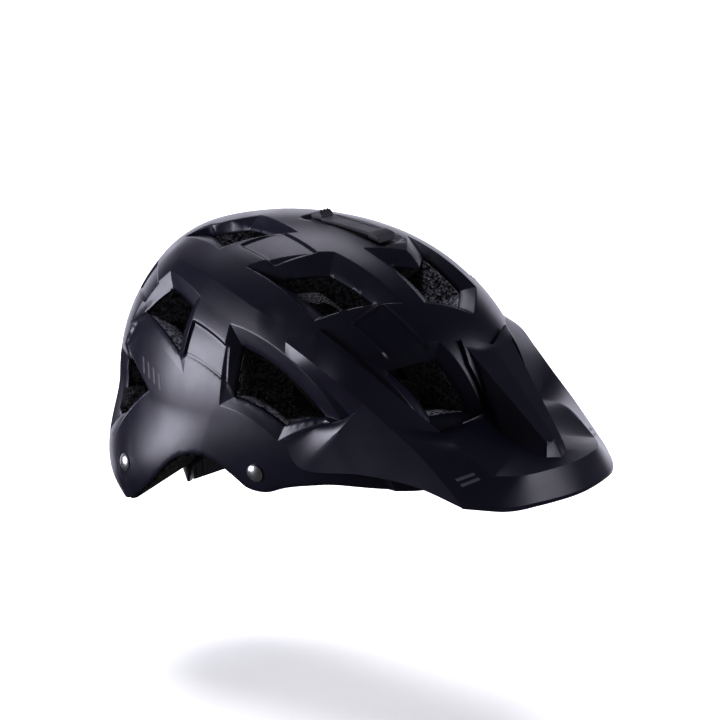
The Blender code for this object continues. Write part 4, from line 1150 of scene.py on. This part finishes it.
def fit_system():
    cover = [(a * 0.92, b * 0.92) for a, b in CRADLE]
    rib_places = [(a, b) for b in (-6.4, 6.4) for a in (-19.5, 19.5)]
    moulding("cradle_front", PLASTIC, "cradle", "fit_cradle", (0.45, 3, 50), on_cradle,
             [([CRADLE], 4, 3.3, 5.1),
              (boxes([(y, 0) for y in (-27, -20, 20, 27)], 1, 7.5), 0.9, 4.9, 5.7)])
    moulding("cradle_rear_cover", PLASTIC, "cradle", "cradle_cover", (0.5, 3, 50), on_cradle,
             [([cover], 4, -3.6, -1.7), (boxes(rib_places, 6.5, 0.7), 0.6, -4.2, -3.4)])
    x, y, z = DIAL_CENTRE
    bm = lathe(DIAL_PROFILE, (x - DIAL_SETBACK, y, z), (1, 0, 0), FLUTES * 8, fluted)
    piece("dial_knob", bm, RUBBER, "dial", "fit_dial", 45)
    for side, sign in SIDES:
        for name, (path, width, thick) in HEAD_BANDS.items():
            bm = band(*head_frame(path, sign), width, thick, taper=band_end)
            piece(f"{name}_band_{side}", bm, PLASTIC, "cradle", f"{name}_{side}", 45)


# ---- comfort pads as (outline, seams) ----
CENTRE_PADS = {
    "brow_pad": ([(84, 0), (82, 22), (74, 44), (60, 62), (70, 71), (87, 50), (96, 25), (98, 0)],
                 [[(80, v), (100, v * 1.12)] for v in (12, 34)] + [[(62, 52), (82, 62)]]),
    "crown_pad": ([(28, 0), (26, 9), (8, 9), (-14, 7), (-34, 8), (-48, 9), (-54, 0)],
                  [[(12, 0), (12, 12)], [(-20, 0), (-20, 12)]]),
}
SIDE_PADS = {
    "side_pad": [(24, 44), (-6, 46), (-8, 56), (26, 57)],
    "rear_pad": [(-40, 30), (-52, 26), (-62, 25), (-64, 32), (-52, 36), (-42, 37)],
}
PAD_THICK, PAD_START = 4.4, 1.1         # mm; it starts this far inside the head's form
PAD_EDGE, PAD_SHOULDER = 0.32, 4.5      # height at the edge, and degrees over which it crowns
SEAM_DEPTH, SEAM_HALF = 0.42, 1.3
PIPING_DEPTH, PIPING_AT, PIPING_HALF = 0.16, 2.4, 0.6


def soft_loop(outline, on_centre):
    """A pad's outline with its corners rounded; of one across the centre, the right half."""
    corners = [np.array(p, float) for p in outline]
    if not on_centre:
        return divide(rounded_outline(corners, 5, 5), PAD_GRID, True)
    whole = corners + [p * (1, -1) for p in corners[-2:0:-1]]
    half = [p for p in divide(rounded_outline(whole, 6, 5), PAD_GRID, True) if p[1] > 1e-6]
    start = min(range(len(half)), key=lambda i: norm(half[i] - corners[0]))
    return np.array([corners[0]] + half[start:] + half[:start] + [corners[-1]])


def comfort_pad(name, outline, seams=(), sign=1, on_centre=False):
    """A foam pad: crowned between its edges and its sewn channels, pulled in at the piped edge."""
    ring = loop = soft_loop(outline, on_centre)
    if on_centre:
        ring = np.r_[loop, divide([loop[-1], loop[0]], PAD_GRID, False)[1:-1]]
    flat, faces = triangulate(ring, [], [], PAD_GRID, on_centre)
    edge = distance(flat, loop, not on_centre)
    crown = np.sqrt(1 - (1 - np.clip(edge / PAD_SHOULDER, 0, 1)) ** 2)
    height = PAD_EDGE + (1 - PAD_EDGE) * crown
    for seam in seams:
        height -= SEAM_DEPTH * np.exp(-(distance(flat, seam, False) / SEAM_HALF) ** 2)
    height -= PIPING_DEPTH * np.exp(-((edge - PIPING_AT) / PIPING_HALF) ** 2)
    sheets = [sunk(flat, HEAD_FORM, PAD_START + PAD_THICK * height * share) * (1, sign, 1)
              for share in (0, 0.5, 1)]
    made = piece(f"{name}_knit", layered(flat, faces, sheets, on_centre), KNIT, "helmet", name, 60)


def pads():
    for name, (outline, seams) in CENTRE_PADS.items():
        comfort_pad(name, outline, seams, on_centre=True)
    for side, sign in SIDES:
        for name, outline in SIDE_PADS.items():
            comfort_pad(f"{name}_{side}", outline, sign=sign)


# ---- plain marks in place of lettering ----
SIDE_BAR = [(0, 0), (1.2, 1.3), (0.4, 7.0), (-0.8, 5.7)]       # on the map, from its start
SIDE_BAR_FROM, SIDE_BAR_STEP = np.array([-47, 59.5]), np.array([3.6, 3.4])
VISOR_BAR = [(0.0, 0.25), (0.07, 0.25), (-0.01, 0.7), (-0.08, 0.7)]    # shares along, across


def side_marks():
    """Four slanted bars of pale ink on each side of the shell, near the low vent."""
    for side, sign in SIDES:
        bm = bmesh.new()
        for k in range(4):
            flat = SIDE_BAR_FROM + SIDE_BAR_STEP * k + SIDE_BAR
            level = base_depth(flat)
            sheets = [sunk(flat, SHELL_FORM, level + by) * (1, sign, 1) for by in (0.4, -0.12)]
            join_rings(bm, [[bm.verts.new(at(*p)) for p in sheet] for sheet in sheets])
        piece(f"side_bars_{side}", bm, (PALE_INK, "shell"), "helmet", smooth=30)


def visor_marks(visor_skin):
    """Two short slanted bars of the same ink on each cheek of the visor, laid on its surface."""
    skin = visor_skin.evaluated_get(bpy.context.evaluated_depsgraph_get())
    inner, outer = np.array(ARM_TOP[-2:], float), np.array(CREST[-2:], float)
    for side, sign in SIDES:
        bm = bmesh.new()
        for along in (0.72, 0.86):
            rings = [[], []]
            for slant, share in VISOR_BAR:
                ends = inner + (outer - inner) * share
                point = (ends[0] + (ends[1] - ends[0]) * (along + slant)) * (1, sign, 1)
                outward = Vector((0.2, -sign * 0.6, 0.75))
                _, on_skin, normal, _ = skin.closest_point_on_mesh(at(*point) + outward * 0.002)
                for ring, lift in zip(rings, (-0.0003, 0.00012)):
                    ring.append(bm.verts.new(on_skin + normal * lift))
            join_rings(bm, rings)
        piece(f"visor_bars_{side}", bm, (PALE_INK, "visor_plastic"), "visor", smooth=30)


def carried_finishes():
    """Finishes for the CAD nodes that stay in view."""
    for name in ("visor_disc_left", "visor_disc_right", "temple_pin_left", "temple_pin_right",
                 "dial_pinion", "rack_left", "rack_right"):
        materials = frame["nodes"][name].data.materials
        materials.clear()
        materials.append(PLASTIC[0])


# ---- stage ----
AZIMUTH, ELEVATION = 38.0, 14.4
CAMERA_DISTANCE = 1991.0
CAMERA_RIGHT, CAMERA_UP = 35.06, 17.86
LENS = 150.5
FLOOR_DROP = 0.115
FLOOR_HALF, FLOOR_GLOW = 8, 0.27
SEEN, MATTE, GLOSS = 1.0, 0.12, 0.04        # the white surround, by what looks at it
COOL = (0.93, 0.92, 1.06)
SOFTBOXES = {                 # place and target in metres, size, watts, and its link to the foam
    "key": ((-1.16, -1.24, 0.22), (-0.03, -0.05, 0.1), (0.8, 0.8), 22, "EXCLUDE"),
    "crown": ((-0.75, 0.42, 1.45), (-0.02, 0, 0.1), (1.0, 0.9), 8, None),
    "front": ((1.4, 0.5, 0.3), (0.08, 0, 0.08), (0.9, 0.9), 9, "EXCLUDE"),
    "rim": ((-0.95, 1.35, 0.05), (-0.03, 0, 0.1), (2.6, 1.4), 17, "EXCLUDE"),
    "foam_light": ((0.3, -0.42, 1.55), (0, 0, 0.12), (0.3, 0.3), 14, "INCLUDE"),
}
SUN_POWER, SUN_ANGLE, SUN_DIRECTION = 2.35, 50, (0.09, -0.12, -1)


def camera():
    a, e = radians(AZIMUTH), radians(ELEVATION)
    right = Vector((cos(a), sin(a), 0))
    back = Vector((sin(a) * cos(e), -cos(a) * cos(e), sin(e)))
    up = Vector((-sin(e) * sin(a), sin(e) * cos(a), cos(e)))
    data = bpy.data.cameras.new("camera")
    data.lens = LENS
    data.sensor_width = 36
    data.clip_end = 50
    made = added("camera", data)
    place = at(*(back * CAMERA_DISTANCE + right * CAMERA_RIGHT + up * CAMERA_UP))
    made.matrix_world = Matrix.Translation(place) @ Matrix((right, up, back)).transposed().to_4x4()
    bpy.context.scene.camera = made


def aimed(light, direction):
    light.rotation_euler = Vector(direction).to_track_quat("-Z", "Y").to_euler()


def linked(light, obj, state):
    """A light that falls on one object only, or on all but that one."""
    group = bpy.data.collections.new(f"{light.name}_{state.lower()}")
    group.objects.link(obj)
    group.collection_objects[0].light_linking.link_state = state
    light.light_linking.receiver_collection = group


def softboxes(foam):
    for name, (place, target, size, power, link) in SOFTBOXES.items():
        data = bpy.data.lights.new(name, "AREA")
        data.shape = "RECTANGLE"
        data.size, data.size_y = size
        data.energy = power
        data.color = COOL
        made = added(name, data)
        made.location = place
        aimed(made, Vector(target) - Vector(place))
        if link:
            linked(made, foam, link)


def backdrop_light():
    """A white surround behind the helmet, dim in the light it sends to the surfaces."""
    world = bpy.context.scene.world or bpy.data.worlds.new("world")
    bpy.context.scene.world = world
    world.use_nodes = True
    tree = world.node_tree
    background = tree.nodes["Background"]
    background.inputs["Color"].default_value = (1, 1, 1, 1)
    path = new_node(tree, "ShaderNodeLightPath")
    level = new_node(tree, "ShaderNodeMapRange", to_min=MATTE, to_max=GLOSS)
    seen = new_node(tree, "ShaderNodeMapRange", to_max=SEEN)
    tree.links.new(path.outputs["Is Glossy Ray"], level.inputs["Value"])
    tree.links.new(path.outputs["Is Camera Ray"], seen.inputs["Value"])
    tree.links.new(level.outputs["Result"], seen.inputs["To Min"])
    tree.links.new(seen.outputs["Result"], background.inputs["Strength"])


def stage(foam):
    bm = bmesh.new()
    bmesh.ops.create_grid(bm, x_segments=1, y_segments=1, size=FLOOR_HALF)
    floor = added("floor", mesh_of("floor", bm))
    floor.location.z = -FLOOR_DROP
    pale = Nodes("pale_floor", (0.95, 0.95, 0.95), 0.9, 0.0, 0.0)
    pale.set(pale.shader, "Emission Color", (1, 1, 1, 1))
    pale.set(pale.shader, "Emission Strength", FLOOR_GLOW)
    floor.data.materials.append(pale.material)
    floor.visible_glossy = False
    floor.visible_diffuse = False
    backdrop_light()
    softboxes(foam)
    sun = bpy.data.lights.new("floor_light", "SUN")
    sun.energy = SUN_POWER
    sun.angle = radians(SUN_ANGLE)
    above = added("floor_light", sun)
    aimed(above, SUN_DIRECTION)
    linked(above, floor, "INCLUDE")
    bpy.context.scene.view_settings.view_transform = "Standard"
    bpy.context.scene.view_settings.look = "Medium High Contrast"


camera()
outer_shell()
foam = eps_liner()
visor_skin = visor()
accessory_mount()
rivets()
straps()
dividers()
buckle()
fit_system()
pads()
side_marks()
visor_marks(visor_skin)
carried_finishes()
stage(foam)
